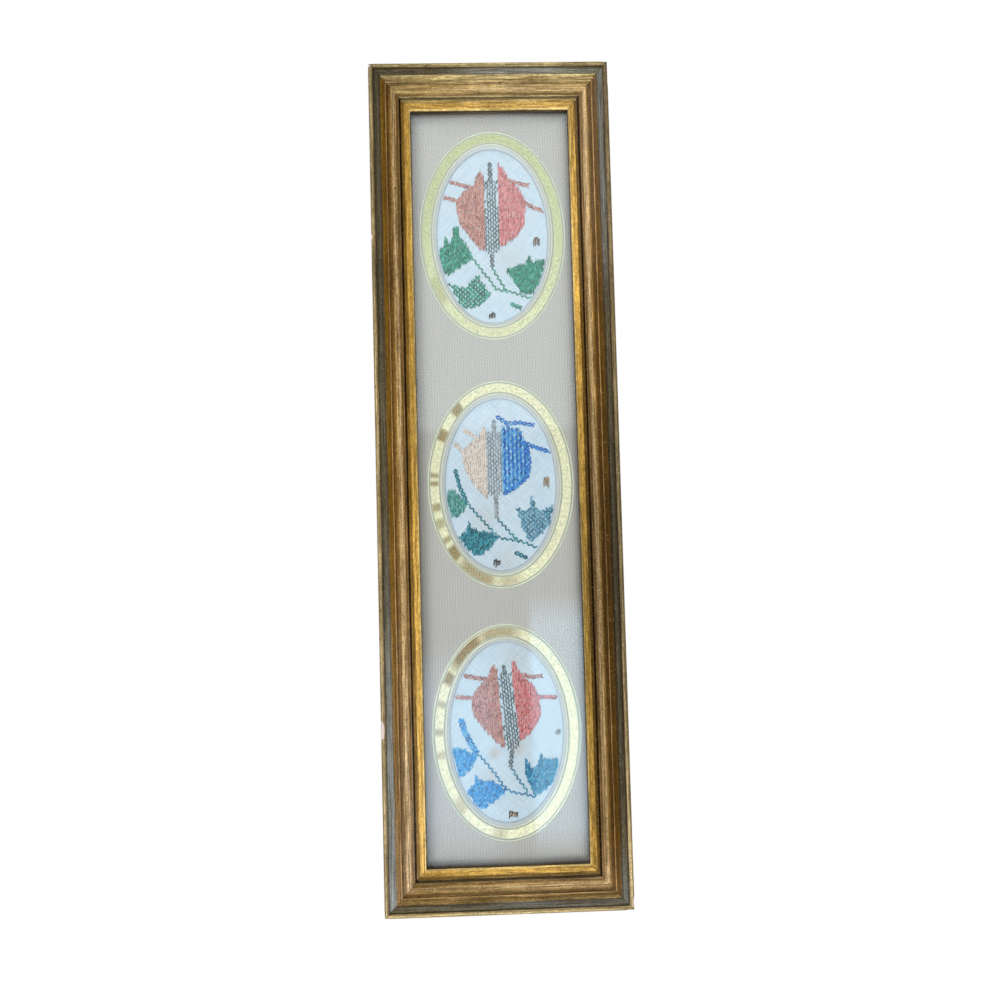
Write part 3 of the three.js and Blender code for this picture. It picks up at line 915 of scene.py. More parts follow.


def build_gilding(nodes, settings, across, along):
    """Bronze gilding over gesso: rubbed bright on the crests, with a painted highlight there, and
    left dark in the hollows, with streaked umber wash that also holds painted shade, a face painted
    pale as a reflection, painted light and a bluish painted reflection along the rails, a fine
    grain, glints painted as highlights, spattered specks, and chips down to the gesso."""
    run = nodes.run()
    place = nodes.place()
    tint = nodes.tint()
    rubbed = nodes.value("rubbed")
    ragged = nodes.blend(nodes.noise(place, 1400.0), -0.25, 0.25)
    bare = nodes.step(nodes.math("ADD", nodes.value("bare"), ragged), 0.0, 0.08)
    coarse = streaks(nodes, run, across, along)
    fine = streaks(nodes, run, across * 2.1, along * 7)
    grain = nodes.drawn_noise(run, (1900, 1100, 1), 3.0, 0.65)
    # Painted highlight along the crests, over their rubbing.
    crest = nodes.times(nodes.step(rubbed, 0.5, 1.0), nodes.blend(grain, 0.1, 1.1))
    coat = nodes.over(tint, crest, 0.75, settings.highlight)
    # The umber wash, also painted shade that differs by rail and lies on what looks outward.
    coat = nodes.mix(nodes.value("washed"), coat, settings.umber)
    # The face painted pale as a reflection.
    coat = nodes.over(coat, nodes.value("paled"), nodes.blend(fine, 0.7, 1.3), settings.pale_gilt)
    wash = nodes.times(coarse, settings.streak_strength)
    coat = nodes.mix(wash, coat, nodes.mix(0.75, tint, settings.umber))
    coat = nodes.scale(coat, nodes.blend(fine, 0.8, 1.55))
    # Pale bluish painted reflection along the rails.
    hazy = nodes.math("MULTIPLY", nodes.value("hazy"), nodes.blend(coarse, 1.5, 0.3), clamp=True)
    coat = nodes.mix(hazy, coat, settings.painted_reflection)
    # Painted light and shade along the rails.
    coat = nodes.scale(coat, nodes.math("MULTIPLY_ADD", nodes.value("lit"), 1.2, 1.0))
    coat = nodes.scale(coat, nodes.blend(mottle(nodes, place, per_metre=38.0), 0.8, 1.2))
    coat = nodes.scale(coat, nodes.blend(nodes.step(grain, 0.3, 0.7), 0.6, 1.4))
    # Glints painted as highlights, most on the crests.
    glints = specks(nodes, place, per_metre=1500.0, size=0.45, share=0.14)
    glint = nodes.blend(nodes.step(rubbed, 0, 0.8), 0.2, 0.6)
    coat = nodes.over(coat, glints, glint, settings.highlight)
    spatter = specks(nodes, place, per_metre=300.0, size=0.22, share=0.07)
    pores = specks(nodes, place, per_metre=1300.0, size=0.5, share=0.3)
    dark = nodes.math("MAXIMUM", spatter, nodes.times(pores, 0.5))
    coat = nodes.over(coat, dark, settings.speck_strength, settings.umber)
    gesso = nodes.mix(nodes.noise(place, 1800.0), settings.gesso, GESSO_DUST)
    metal = nodes.times(nodes.value("leaf"), nodes.math("SUBTRACT", 1.0, bare))
    rough = nodes.math("ADD", nodes.value("roughness"), nodes.times(grain, 0.2))
    relief = nodes.math("MULTIPLY_ADD", fine, 0.5, coarse)
    relief = nodes.math("MULTIPLY_ADD", dark, -1.2, relief)
    nodes.finish(
        nodes.mix(bare, coat, gesso),
        nodes.blend(bare, rough, 0.9),
        nodes.math("ADD", relief, grain),
        0.06 * MM,
        nodes.times(metal, nodes.blend(wash, 1.0, 0.4)),
        Specular_IOR_Level=0.06,
    )


def build_glass(nodes):
    """A clear pane with faint wipe marks. Lamp rays and soft light go straight through it."""
    wiped = streaks(nodes, nodes.place(), across=120.0, along=9.0)
    inputs = {
        "Base Color": GLASS_TINT,
        "Roughness": nodes.blend(wiped, 0.0, 0.012),
        "Transmission Weight": 1.0,
        "IOR": GLASS_IOR,
    }
    whole = nodes.add("ShaderNodeBsdfPrincipled", inputs)
    path = nodes.add("ShaderNodeLightPath").outputs
    clear = nodes.add("ShaderNodeBsdfTransparent", {"Color": GLASS_SHADE})
    for ray in ("Is Diffuse Ray", "Is Shadow Ray"):
        both = nodes.add("ShaderNodeMixShader", {"Fac": path[ray]})
        nodes.feed(both.inputs[1], whole.outputs[0])
        nodes.feed(both.inputs[2], clear.outputs[0])
        whole = both
    nodes.out(whole.outputs[0])


def build_ribbed_cloth(nodes, settings):
    """Book cloth with fine upright ribs: a rounded wave across, broken by fibres along."""
    place = nodes.place()
    fibres = nodes.drawn_noise(place, (3200, 1, 160))
    shift = nodes.times(fibres, 0.07)
    across = nodes.parts(place)[0]
    rib = nodes.ridges(nodes.math("MULTIPLY_ADD", across, 1 / settings.rib_pitch, shift))
    groove = nodes.mix(0.42, settings.paper, RIB_SHADE)
    base = nodes.mix(nodes.step(rib, 0.0, 0.75), groove, settings.paper)
    base = nodes.over(base, mottle(nodes, place, per_metre=22.0), 0.12, AGED_CLOTH)
    base = nodes.over(base, fibres, 0.2, CLOTH_FIBRE)
    spots = specks(nodes, place, per_metre=160.0, size=0.07, share=0.1)
    base = nodes.over(base, spots, 0.5, CLOTH_SPOT)
    # Painted shade on the mat toward the slip, warm with painted light thrown back from the gilding.
    shaded_near_slip = nodes.math("POWER", 0.5, nodes.math("DIVIDE", nodes.in_from_slip(), SLIP_SHADE_REACH))
    base = nodes.over(base, shaded_near_slip, 0.66, settings.slip_shade)
    height = nodes.math("ADD", rib, nodes.times(fibres, 0.5))
    rough = nodes.blend(fibres, 0.8, 0.95)
    nodes.finish(base, rough, height, 0.05 * MM, Specular_IOR_Level=0.2)


def build_foil(nodes, settings):
    """Stamped gold foil with a painted highlight along the die's edges and painted shade in the bare
    grooves beside the lines; it is crazed all over, and the ribs show through where it is dull and
    brown."""
    place = nodes.place()
    rib = nodes.ridges(nodes.times(nodes.parts(place)[0], 1 / settings.rib_pitch))
    creases = nodes.noise(place, 620.0, 4.0, 0.65)
    crazing = nodes.drawn_noise(place, (900, 1, 1500), 2.0, 0.6)
    dull = nodes.math("ADD", nodes.value("dull"), nodes.blend(creases, -0.12, 0.12))
    gleam = nodes.value("gleam")
    base = nodes.mix(nodes.step(dull, 0.05, 0.9), settings.bright_gold, settings.dull_gold)
    base = nodes.mix(nodes.value("green"), base, settings.green_gold)
    browned = nodes.step(dull, 0.4, 0.8)
    broken = nodes.times(nodes.step(rib, 0.8, 0.2), nodes.step(crazing, 0.4, 0.6))
    base = nodes.over(base, browned, broken, BROKEN_FOIL)
    base = nodes.scale(base, nodes.blend(nodes.step(creases, 0.35, 0.65), 0.72, 1.16))
    # Painted highlight along the die's edges.
    base = nodes.mix(nodes.step(gleam, 0.2, 0.9), base, settings.edge_highlight_gold)
    # Painted shade in the bare grooves beside the lines.
    base = nodes.mix(nodes.step(gleam, -0.1, -0.7), base, settings.groove)
    rough = nodes.blend(creases, 0.32, 0.5)
    height = nodes.math("MULTIPLY_ADD", rib, 0.5, creases)
    metal = nodes.blend(browned, 0.2, 0.4)
    nodes.finish(base, rough, height, 0.03 * MM, metal, Specular_IOR_Level=0.25)


def build_core(nodes, settings):
    """The cut edge of the board: grey pulp in thin layers, with painted shadow down by the linen."""
    place = nodes.place()
    layers = nodes.drawn_noise(place, (300, 9000, 300))
    shade = nodes.mix(0.3, settings.core, CORE_LAYER)
    base = nodes.mix(nodes.step(layers, 0.3, 0.7), settings.core, shade)
    # Painted contact shadow down by the linen.
    low = nodes.step(nodes.parts(place)[1], -(MAT_BACK + 0.5) * MM, -(MAT_BACK + 0.1) * MM)
    base = nodes.over(base, low, 0.45, CORE_CONTACT_SHADOW)
    nodes.finish(base, nodes.blend(layers, 0.8, 0.95), layers, 0.04 * MM)


def build_linen(nodes, settings):
    """White linen laid on the bias: an even weave with slubs, lint and old stains."""
    place = nodes.place()
    bias = nodes.stretch(place, (1, 1, 1), (0, radians(45), 0))
    high, slub = plain_weave(nodes, bias, 1 / settings.thread_pitch)
    age = mottle(nodes, place, per_metre=70.0)
    shade = nodes.mix(0.5, settings.linen, LINEN_SHADE)
    base = nodes.mix(nodes.step(high, 0.15, 0.55), shade, settings.linen)
    base = nodes.over(base, slub, 0.5, LINEN_SLUB)
    base = nodes.mix(nodes.step(slub, 0.35, 0.0), base, shade)
    base = nodes.over(base, age, 0.16, AGED_LINEN)
    base = nodes.over(base, nodes.value("stain"), nodes.blend(age, 0.5, 1.0), settings.stain)
    lint = specks(nodes, place, per_metre=190.0, size=0.06, share=0.12)
    base = nodes.over(base, lint, 0.5, LINT)
    rough = nodes.blend(slub, 0.85, 1.0)
    height = nodes.math("ADD", high, nodes.times(slub, 0.5))
    nodes.finish(base, rough, height, 0.1 * MM, Specular_IOR_Level=0.2, Sheen_Weight=0.1)


def build_yarn(nodes, shade):
    """Soft cotton yarn of one colour, a little lighter and darker from stitch to stitch, with
    painted highlights on its fibres and painted shade between its plies and where it turns under."""
    height, fibre, crevice = twisted_yarn(nodes, nodes.run(), YARN_TURNS)
    # A paler shade for the lighter stitches and the painted highlights.
    pale_and_lit = [0.06 + 0.94 * part**0.55 for part in shade]
    deep = [0.36 * part**1.6 for part in shade]
    lot = nodes.value("lot")
    base = nodes.mix(nodes.step(lot, 0.5, 0.9), shade, pale_and_lit)
    base = nodes.mix(nodes.step(lot, 0.45, -0.15), base, deep)
    # Painted shade between the plies.
    base = nodes.mix(nodes.step(height, 0.55, 0.0), base, deep)
    # Painted highlights on the fibres.
    base = nodes.mix(nodes.step(fibre, 0.5, 0.8), base, pale_and_lit)
    # Painted shade where the stitch turns under to the cloth.
    base = nodes.over(base, crevice, 0.9, deep)
    rough = nodes.blend(fibre, 0.75, 1.0)
    nodes.finish(base, rough, height, 0.12 * MM, Specular_IOR_Level=0.1, Sheen_Weight=0.05)


def build_board(nodes, settings):
    """Brown paper-faced board: long fibres, flecks and a little foxing."""
    place = nodes.place()
    fibres = nodes.drawn_noise(place, (500, 500, 2600), 4.0, 0.7)
    base = nodes.mix(nodes.step(fibres, 0.3, 0.7), settings.board, BOARD_FIBRE)
    base = nodes.over(base, mottle(nodes, place, per_metre=14.0), 0.4, FOXING)
    flecks = specks(nodes, place, per_metre=300.0, size=0.2, share=0.2)
    base = nodes.over(base, flecks, 0.5, BOARD_FLECK)
    nodes.finish(base, nodes.blend(fibres, 0.8, 0.95), fibres, 0.08 * MM)


def build_floor(nodes, settings):
    """Matt pale paint with a faint roller texture."""
    fine = nodes.noise(nodes.place(), 300.0, 3.0)
    base = nodes.over(settings.floor, fine, 0.1, FLOOR_SHADE)
    nodes.finish(base, 0.9, fine, 0.1 * MM)


# ---- The frame's rails -------------------------------------------------------------------------


def follow_section(members, crest):
    """Points round a section, each one's finish, and how much it has been rubbed and given a painted
    highlight.

    A member from a to b is the quadratic curve a(1-t)^2 + 2ct(1-t) + bt^2, where its control c
    stands off the middle of the chord by twice the bulge, to the left of the way it runs. A
    rounded member is rubbed bright along its crest, with a painted highlight there, a little inside
    its middle, and a hollow one keeps its wash: the bulge times the sine of half a turn over t to
    the power crest.
    """
    ends = np.array([[m.inward, m.height] for m in members], float)
    places, finishes, rubbed = [], [], []
    for number, member in enumerate(members):
        start, end = ends[number - 1], ends[number]
        t = np.linspace(0, 1, member.steps + 1)[:-1, None]
        chord = end - start
        off = np.array([-chord[1], chord[0]]) / np.hypot(*chord)
        control = (start + end) / 2 + off * 2 * member.bulge
        places.append(start * (1 - t) ** 2 + control * 2 * t * (1 - t) + end * t**2)
        finishes += [member.finish] * member.steps
        rubbed.append(np.clip(member.bulge, -1, 1) * np.sin(pi * t[:, 0] ** crest))
    return np.concatenate(places), finishes, np.concatenate(rubbed)


def distance_round(places, zero):
    """How far round a closed section each of its points is, from half its girth before the
    point number zero to half its girth past it, and the girth."""
    steps = np.hypot(*np.diff(places, axis=0, append=places[:1]).T)
    far = np.concatenate([[0], np.cumsum(steps)[:-1]])
    far, girth = far - far[zero], steps.sum()
    return np.where(far > girth / 2, far - girth, far), girth


def between_mitres(length, inward, t):
    """How far along a rail a point is at t of what the mitres leave of its length."""
    start = inward + MITRE_TRIM
    return start + (length - 2 * start) * t


def waver(along, seed):
    """A hand-planed line's gentle unevenness: the mean of five sines of seeded length and start."""
    draw = np.random.default_rng(seed)
    lengths = draw.uniform(18, 160, 5)[:, None]
    starts = draw.uniform(0, 2 * pi, 5)[:, None]
    sines = np.sin(2 * pi * along.ravel() / lengths + starts)
    return WAVER * sines.mean(axis=0).reshape(along.shape)


def bell(away, reach):
    """1 in the middle and falling off as a bell: e to the power of minus the square of away as
    a share of the reach."""
    return np.exp(-((away / reach) ** 2))


def wear(side, length, along, across):
    """How far inside the nearest chip a point lies: 1 at its middle, 0 on its rim, less outside,
    and how much is lost there and off the arris at the frame's corners."""
    cover, loss = np.full(along.shape, -1.0), np.zeros(along.shape)
    for chip in CHIPS:
        if chip.side == side:
            away = np.hypot(
                (along - chip.along) / chip.half_length, (across - chip.across) / chip.half_width
            )
            cover = np.maximum(cover, 1 - away)
            loss += chip.depth * np.clip(1.5 - 1.5 * away, 0, 1)
    corner_gap = np.minimum(along, length - along)
    return cover, loss + CORNER_ROUNDING * bell(across, ARRIS_REACH) * bell(corner_gap, CORNER_REACH)


def painted_light(side, along):
    """How much painted light lies along the rail, painted shade where it is below nought: the sum of
    the side's patches, each falling off as a bell.
    """
    patches = [patch for patch in LIGHT_PATCHES if patch.side == side]
    return sum(p.strength * bell(along - p.along, p.reach / 1.4) for p in patches)


def umber_wash_and_shade(rail, section, finishes, t):
    """How heavily the umber wash lies, partly real wash and partly painted shade: each finish's
    share of the rail's, and painted shade on whatever looks outward, where three times the section's
    slope is its share. On the bead painted shade goes evenly from one end of the rail to the other."""
    slope = np.gradient(section[:, 1]) / np.hypot(*np.gradient(section, axis=0).T)
    washed = np.array([SHEENS[finish].wash for finish in finishes]) * rail.wash
    washed = np.maximum(washed, np.clip(slope * 3, 0, 1) * rail.outer_wash)
    near, far = rail.bead_wash
    is_bead = np.array(finishes) == "bead_gilt"
    return np.where(is_bead[:, None], near + (far - near) * t, washed[:, None])


def add_rail(name, members, rail, settings, material, seed):
    """A rail: its section carried straight along one side of the frame and cut at 45 degrees.

    Point (k, t) is the rail's corner, plus the section's inward way, plus t of the length left
    between the two mitres at that distance inward, less its height above the back.
    """
    section, finishes, rubbed = follow_section(members, rail.crest)
    is_moulding = members is MOULDING
    arris = sum(member.steps for member in members[:2]) if is_moulding else 0
    around, girth = distance_round(section, arris)
    size = (HIGH - LOW)[[0, 2]] / MM
    length = abs(np.dot(rail.along, size))
    count, rows = len(section), int(round(length / FACE_STEP)) + 1
    t = np.linspace(0, 1, rows)[None, :]
    columns = (*section.T, around)
    inward, height, across = (np.repeat(column[:, None], rows, axis=1) for column in columns)
    along = between_mitres(length, inward, t)
    cover, loss = np.full(along.shape, -1.0), np.zeros(along.shape)
    if is_moulding:
        cover, loss = wear(rail.side, length, along, across)
    on_face = np.array([finish != "raw_wood" for finish in finishes])[:, None]
    low, high = WAVER_HEIGHTS
    lift = waver(along, seed) * on_face * np.clip((height - low) / (high - low), 0, 1)
    height = height + lift - loss * (height > WORN_FACE)
    inward = inward + np.where(across < ARRIS_WIDTH, loss * (height > WORN_WALL), 0)
    along = between_mitres(length, inward, t)
    corner = LOW[[0, 2]] / MM + np.array(rail.corner) * size
    ways = along[..., None] * np.array(rail.along), inward[..., None] * np.array(rail.inward)
    flat = corner + ways[0] + ways[1]
    points = np.stack([flat[..., 0], -height, flat[..., 1]], axis=-1).reshape(-1, 3) * MM
    quads, k, row = grid_quads(count, rows, wrap_rows=True)
    first, last = (np.arange(count) * rows + end for end in (0, rows - 1))
    unwrapped = np.append(around, around[0] + girth)[k]
    corner_uv = [
        np.stack([unwrapped, along[k % count, row] + seed * MAP_APART], axis=-1) * MM,
        np.stack([section[::-1], section]) * MM,
    ]
    sheen = np.array([SHEENS[finish] for finish in finishes])
    leaf, roughness, _, fade, light_shares = sheen.T[..., None]
    hazy = painted_light(rail.side, along)
    values = {
        "leaf": leaf,
        "roughness": roughness,
        "bare": cover,
        # The crests' painted highlight, the painted shade, the painted pale reflection and the
        # painted light along the rail.
        "rubbed": rubbed[:, None] * rail.rub,
        "washed": umber_wash_and_shade(rail, section, finishes, t),
        "paled": fade * rail.pale,
        "hazy": hazy * light_shares,
        "lit": hazy,
    }
    tint = np.array([[*getattr(settings, finish)] for finish in finishes])
    return add_piece(
        f"gilt_{name}_{rail.side}",
        points,
        [quads, np.stack([first[::-1], last])],
        [material],
        {layer: np.broadcast_to(value, (count, rows)).ravel() for layer, value in values.items()},
        corner_uv=corner_uv,
        tint=np.repeat(tint, rows, axis=0),
    )


def fit_rails(name, members, settings, material, seed):
    """The four rails of a section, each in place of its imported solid."""
    for number, rail in enumerate(RAILS):
        piece = add_rail(name, members, rail, settings, material, seed + number)
        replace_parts(piece, f"{name}_{rail.side}")


# ---- The mat -----------------------------------------------------------------------------------

# A row of points round the mat: how far out from the window, the height, the share of the way
# on to the cell's edge, the material outward from it, and the painted light and shade on the foil
# there: 1 for a painted highlight along the die's edges, 0 on its face, -1 for painted shade in
# the bare grooves beside the lines.
Row = namedtuple("Row", "out height share material gleam")
CLOTH, CORE, FOIL = 0, 1, 2  # the mat's materials, in the order of its slots


def mat_rows():
    """Rows of the mat from the back's outer edge, in under the bevel, over it, up and down over
    each stamped line and out along the front."""
    front, back, low = MAT_FRONT, MAT_BACK, MAT_FRONT - STAMP_DEPTH
    last = STAMPS[-1].outer + GROOVE_WIDTH
    rows = [Row(last, back, 1.0, CLOTH, 0), Row(last, back, 0.5, CLOTH, 0)]
    rows += [Row(2.0, back, 0, CLOTH, 0), Row(0.0, back, 0, CORE, 0)]
    rows.append(Row(FOOT_EASE[0], back + FOOT_EASE[1], 0, CORE, 0))
    rows.append(Row(BEVEL_WIDTH - TOP_EASE[0], front - TOP_EASE[1], 0, CORE, 0))
    rows.append(Row(BEVEL_WIDTH, front, 0, CLOTH, 0))
    for stamp in STAMPS:
        inner, outer = stamp.inner + STAMP_EDGE, stamp.outer - STAMP_EDGE
        rows += [Row(stamp.inner - STAMP_EDGE, front, 0, FOIL, -1), Row(inner, low, 0, FOIL, 1)]
        if stamp.has_face:
            ends = inner + EDGE_LIGHT_WIDTH, outer - EDGE_LIGHT_WIDTH
            rows += [Row(out, low, 0, FOIL, 0) for out in ends]
        rows += [Row(outer, low, 0, FOIL, 1), Row(stamp.outer + STAMP_EDGE, front, 0, FOIL, -1)]
    rows.append(Row(last - FOIL_MARGIN, front, 0, FOIL, -1))
    rows += [Row(last, front, share, CLOTH, 0) for share in (0, 0.1, 0.3, 0.6, 1.0)]
    return rows


def window_middle(window):
    """The middle of a window, across and up in the frame, in millimetres."""
    low, high = (np.array(corner)[[0, 2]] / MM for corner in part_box("mat"))
    return (low + high) / 2 + (window.across, window.up)


def border_points(low, high, steps):
    """Points round a rectangle, anticlockwise from its lower left corner, evenly along each side."""
    x, z = (np.linspace(low[way], high[way], steps[way] + 1) for way in (0, 1))
    sides = (
        np.stack([x, np.full_like(x, low[1])], 1)[:-1],
        np.stack([np.full_like(z, high[0]), z], 1)[:-1],
        np.stack([x[::-1], np.full_like(x, high[1])], 1)[:-1],
        np.stack([np.full_like(z, low[0]), z[::-1]], 1)[:-1],
    )
    return np.concatenate(sides)


def dullness(place, angles):
    """How dull the gold is at each angle round an oval: the strongest of its smooth patches."""
    dull = np.zeros_like(angles)
    for patch in DULL_PATCHES:
        if patch.place == place:
            apart = np.abs((angles - patch.angle + 180) % 360 - 180)
            cover = np.clip((patch.spread - apart) / patch.soft + 0.5, 0, 1)
            dull = np.maximum(dull, patch.strength * cover)
    return dull


def add_mat(materials):
    """The mat: one cell for each oval, joined where they meet.

    A cell's point (row, k) lies on the oval that is the window grown by the row's distance, at
    the angle of border point k, and then goes the row's share of the way out to that point.
    """
    low, high = (np.array(corner)[[0, 2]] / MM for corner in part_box("mat"))
    centres = [window_middle(window) for window in WINDOWS]
    cuts = [high[1]] + [(a[1] + b[1]) / 2 for a, b in zip(centres, centres[1:])] + [low[1]]
    rows = Row(*(np.array(column)[:, None] for column in zip(*mat_rows())))
    in_band = (BAND.inner < rows.out) & (rows.out < BAND.outer)
    points, faces, kinds = [], [], []
    values = {"dull": [], "gleam": [], "green": []}
    for window, centre, top, foot in zip(WINDOWS, centres, cuts, cuts[1:]):
        border = border_points((low[0], foot), (high[0], top), CELL_STEPS)
        half = np.array([window.width, window.height]) / 2
        angle = np.arctan2(*((border - centre) / half).T[::-1])
        way = np.stack([np.cos(angle), np.sin(angle)], 1)
        oval = centre + way * (half + rows.out[..., None])
        flat = oval + (border - oval) * rows.share[..., None]
        shape = (len(rows.out), len(border))
        cell = {
            "dull": dullness(window.place, np.degrees(angle)) * in_band,
            "gleam": rows.gleam,
            "green": window.green * (1 - GREEN_LOST * np.clip(-way[:, 1], 0, 1)),
        }
        for layer, value in cell.items():
            values[layer].append(np.broadcast_to(value, shape).ravel())
        first = sum(len(done) for done in points)
        depth = np.broadcast_to(-rows.height, shape)
        points.append(np.stack([flat[..., 0], depth, flat[..., 1]], -1).reshape(-1, 3))
        quads, row, _ = grid_quads(*shape, wrap_columns=True, first=first)
        outer = np.isclose(border, low).any(1) | np.isclose(border, high).any(1)
        joined = outer & np.roll(outer, -1)
        step = np.arange(len(border))
        ring = np.stack([step, np.roll(step, -1)], 1)[joined] + first
        on_edge = ring + (len(rows.out) - 1) * len(border)
        faces += [quads, np.concatenate([on_edge, ring[:, ::-1]], 1)]
        kinds += [rows.material[row[:, 0], 0], np.full(joined.sum(), CLOTH)]
    points = np.concatenate(points)
    _, keep, merged = np.unique(
        np.round(points, 4), axis=0, return_index=True, return_inverse=True
    )
    return add_piece(
        "mat_face",
        points[keep] * MM,
        [merged.ravel()[np.concatenate(faces)]],
        materials,
        {layer: np.concatenate(parts)[keep] for layer, parts in values.items()},
        kinds=np.concatenate(kinds),
    )


# ---- The linens and their stitches -------------------------------------------------------------


def add_linen(window, material):
    """A cloth stretched behind its window: a thin slab whose front swells and sinks by a tenth
    of a millimetre, as the sum of three crossed sines, and is flat at its edges."""
    low, high = (np.array(corner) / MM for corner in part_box(f"cloth_{window.place}"))
    lines = [
        np.linspace(low[way], high[way], int(round((high - low)[way] / CLOTH_STEP)) + 1)
        for way in (0, 2)
    ]
    x, z = np.meshgrid(*lines, indexing="ij")
    u, v = (x - low[0]) / (high[0] - low[0]), (z - low[2]) / (high[2] - low[2])
    swell = np.sin(x / 4.1 + z / 9.7) + np.sin(x / 7.3 - z / 5.2) + np.sin(z / 3.6)
    front = -CLOTH_FRONT - CLOTH_SWELL * swell * np.sin(pi * u) * np.sin(pi * v)
    back = np.full_like(front, -CLOTH_BACK)
    points = np.concatenate([np.stack([x, y, z], -1).reshape(-1, 3) for y in (front, back)])
    half = x.size
    front_faces, _, _ = grid_quads(*x.shape)
    index = np.arange(half).reshape(x.shape)
    rim = np.concatenate([index[:-1, 0], index[-1, :-1], index[:0:-1, -1], index[0, :0:-1]])
    following = np.roll(rim, -1)
    walls = np.stack([following, rim, rim + half, following + half], 1)
    middle = window_middle(window)
    stain = np.zeros(half)
    for spot in STAINS:
        if spot.place == window.place:
            away = np.hypot(x - middle[0] - spot.across, z - middle[1] - spot.up).ravel()
            stain = np.maximum(stain, spot.strength * bell(away, spot.radius))
    linen = add_piece(
        f"linen_{window.place}",
        points * MM,
        [np.concatenate([front_faces, front_faces[:, ::-1] + half, walls])],
        [material],
        {"stain": np.append(stain, stain * 0)},
    )
    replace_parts(linen, f"cloth_{window.place}")
    return linen, (high[0] - low[0], high[2] - low[2])


def stitch_table(start, end, radius, lot):
    """Stitches as rows of a table: where one starts and where it ends, each across and up from
    the window's middle, how thick it is, and how light its yarn is."""
    own = np.broadcast_to([radius, lot], start.shape)
    return np.concatenate([start, end, own], axis=1)


def inside(outline, points):
    """Whether points lie inside an outline: a level line to the right crosses it an odd number
    of times."""
    (x, z), (next_x, next_z) = outline.T, np.roll(outline, -1, axis=0).T
    across, up = points[:, :1], points[:, 1:]
    spans = (z > up) != (next_z > up)
    crossing = x + (up - z) * (next_x - x) / np.where(next_z == z, 1, next_z - z)
    return (spans & (across < crossing)).sum(axis=-1) % 2 == 1


def filled_stitches(field, draw):
    """Stitches of a filled shape. Thread k stands at k pitches and swings right and left at
    every half wave, the next one the other way, and a stitch joins two neighbouring turns. With
    a slant the turns on the right stand higher, so every other stitch is long and leans."""
    filling = FILLINGS[field.filling]
    outline = np.array(field.outline, float)
    low, high = outline.min(axis=0), outline.max(axis=0)
    middle = (low[0] + high[0]) / 2
    lean_room = abs(field.lean) * (high[1] - low[1])
    count = int((high[0] - low[0] + lean_room) / filling.pitch / 2) + 2
    k, m = np.meshgrid(
        np.arange(-count, count + 1),
        np.arange(int((high[1] - low[1]) / filling.wave * 2) + 3),
        indexing="ij",
    )
    to_right = 1 - 2 * ((k + m) % 2)
    z = low[1] + (m - 0.5 + filling.slant / 2 * to_right) * filling.wave / 2
    x = middle + (k + 0.5) * filling.pitch + filling.swing * to_right
    x = x + field.lean * (z - (low[1] + high[1]) / 2)
    turns = np.stack([side + draw.normal(0, filling.unevenness, k.shape) for side in (x, z)], -1)
    start, end = turns[:, :-1].reshape(-1, 2), turns[:, 1:].reshape(-1, 2)
    kept = inside(outline, (start + end) / 2)
    return stitch_table(start[kept], end[kept], filling.radius, filling.lot)


def strand_stitches(strand, draw):
    """Stitches of a wavy line. Its turns lie half a wave apart along the path and swing to one
    side and the other, and threads side by side swing opposite ways."""
    twist = LONE_TWIST if strand.threads == 1 else CHAIN_TWIST
    path = np.array(strand.points, float)
    far = np.concatenate([[0], np.cumsum(np.hypot(*np.diff(path, axis=0).T))])
    turns = max(2, int(round(far[-1] / twist.wave * 2)) + 1)
    at = np.linspace(0, far[-1], turns)
    line = np.stack([np.interp(at, far, path[:, way]) for way in (0, 1)], 1)
    ahead = np.gradient(line, axis=0)
    side = np.stack([-ahead[:, 1], ahead[:, 0]], 1) / np.hypot(*ahead.T)[:, None]
    starts, ends = [], []
    for thread in range(strand.threads):
        away = (thread - (strand.threads - 1) / 2) * twist.gap
        swing = twist.swing * (1 - 2 * ((np.arange(turns) + thread) % 2))
        uneven = draw.normal(0, STRAND_UNEVENNESS, line.shape)
        turned = line + side * (away + swing)[:, None] + uneven
        starts.append(turned[:-1])
        ends.append(turned[1:])
    return stitch_table(np.concatenate(starts), np.concatenate(ends), twist.radius, STRAND_LOT)


def knot_stitches(knot, draw):
    """A small knot: four uneven upright stitches side by side, and three short ones that lean
    across them near the top."""
    place = np.array([knot.across, knot.up])
    half = np.array([knot.width, knot.height]) / 2
    across = np.linspace(-0.75, 0.75, 4)
    top, foot = draw.uniform(0.3, 0.9, 4), -draw.uniform(0.3, 0.95, 4)
    upright = np.stack([across, foot], 1), np.stack([across + 0.15, top], 1)
    leaning = np.stack([across[:3], top[:3] - 0.3], 1), np.stack([across[1:], top[1:]], 1)
    start, end = (np.concatenate(pair) * half + place for pair in zip(upright, leaning))
    return stitch_table(start, end, KNOT_RADIUS, KNOT_LOT)


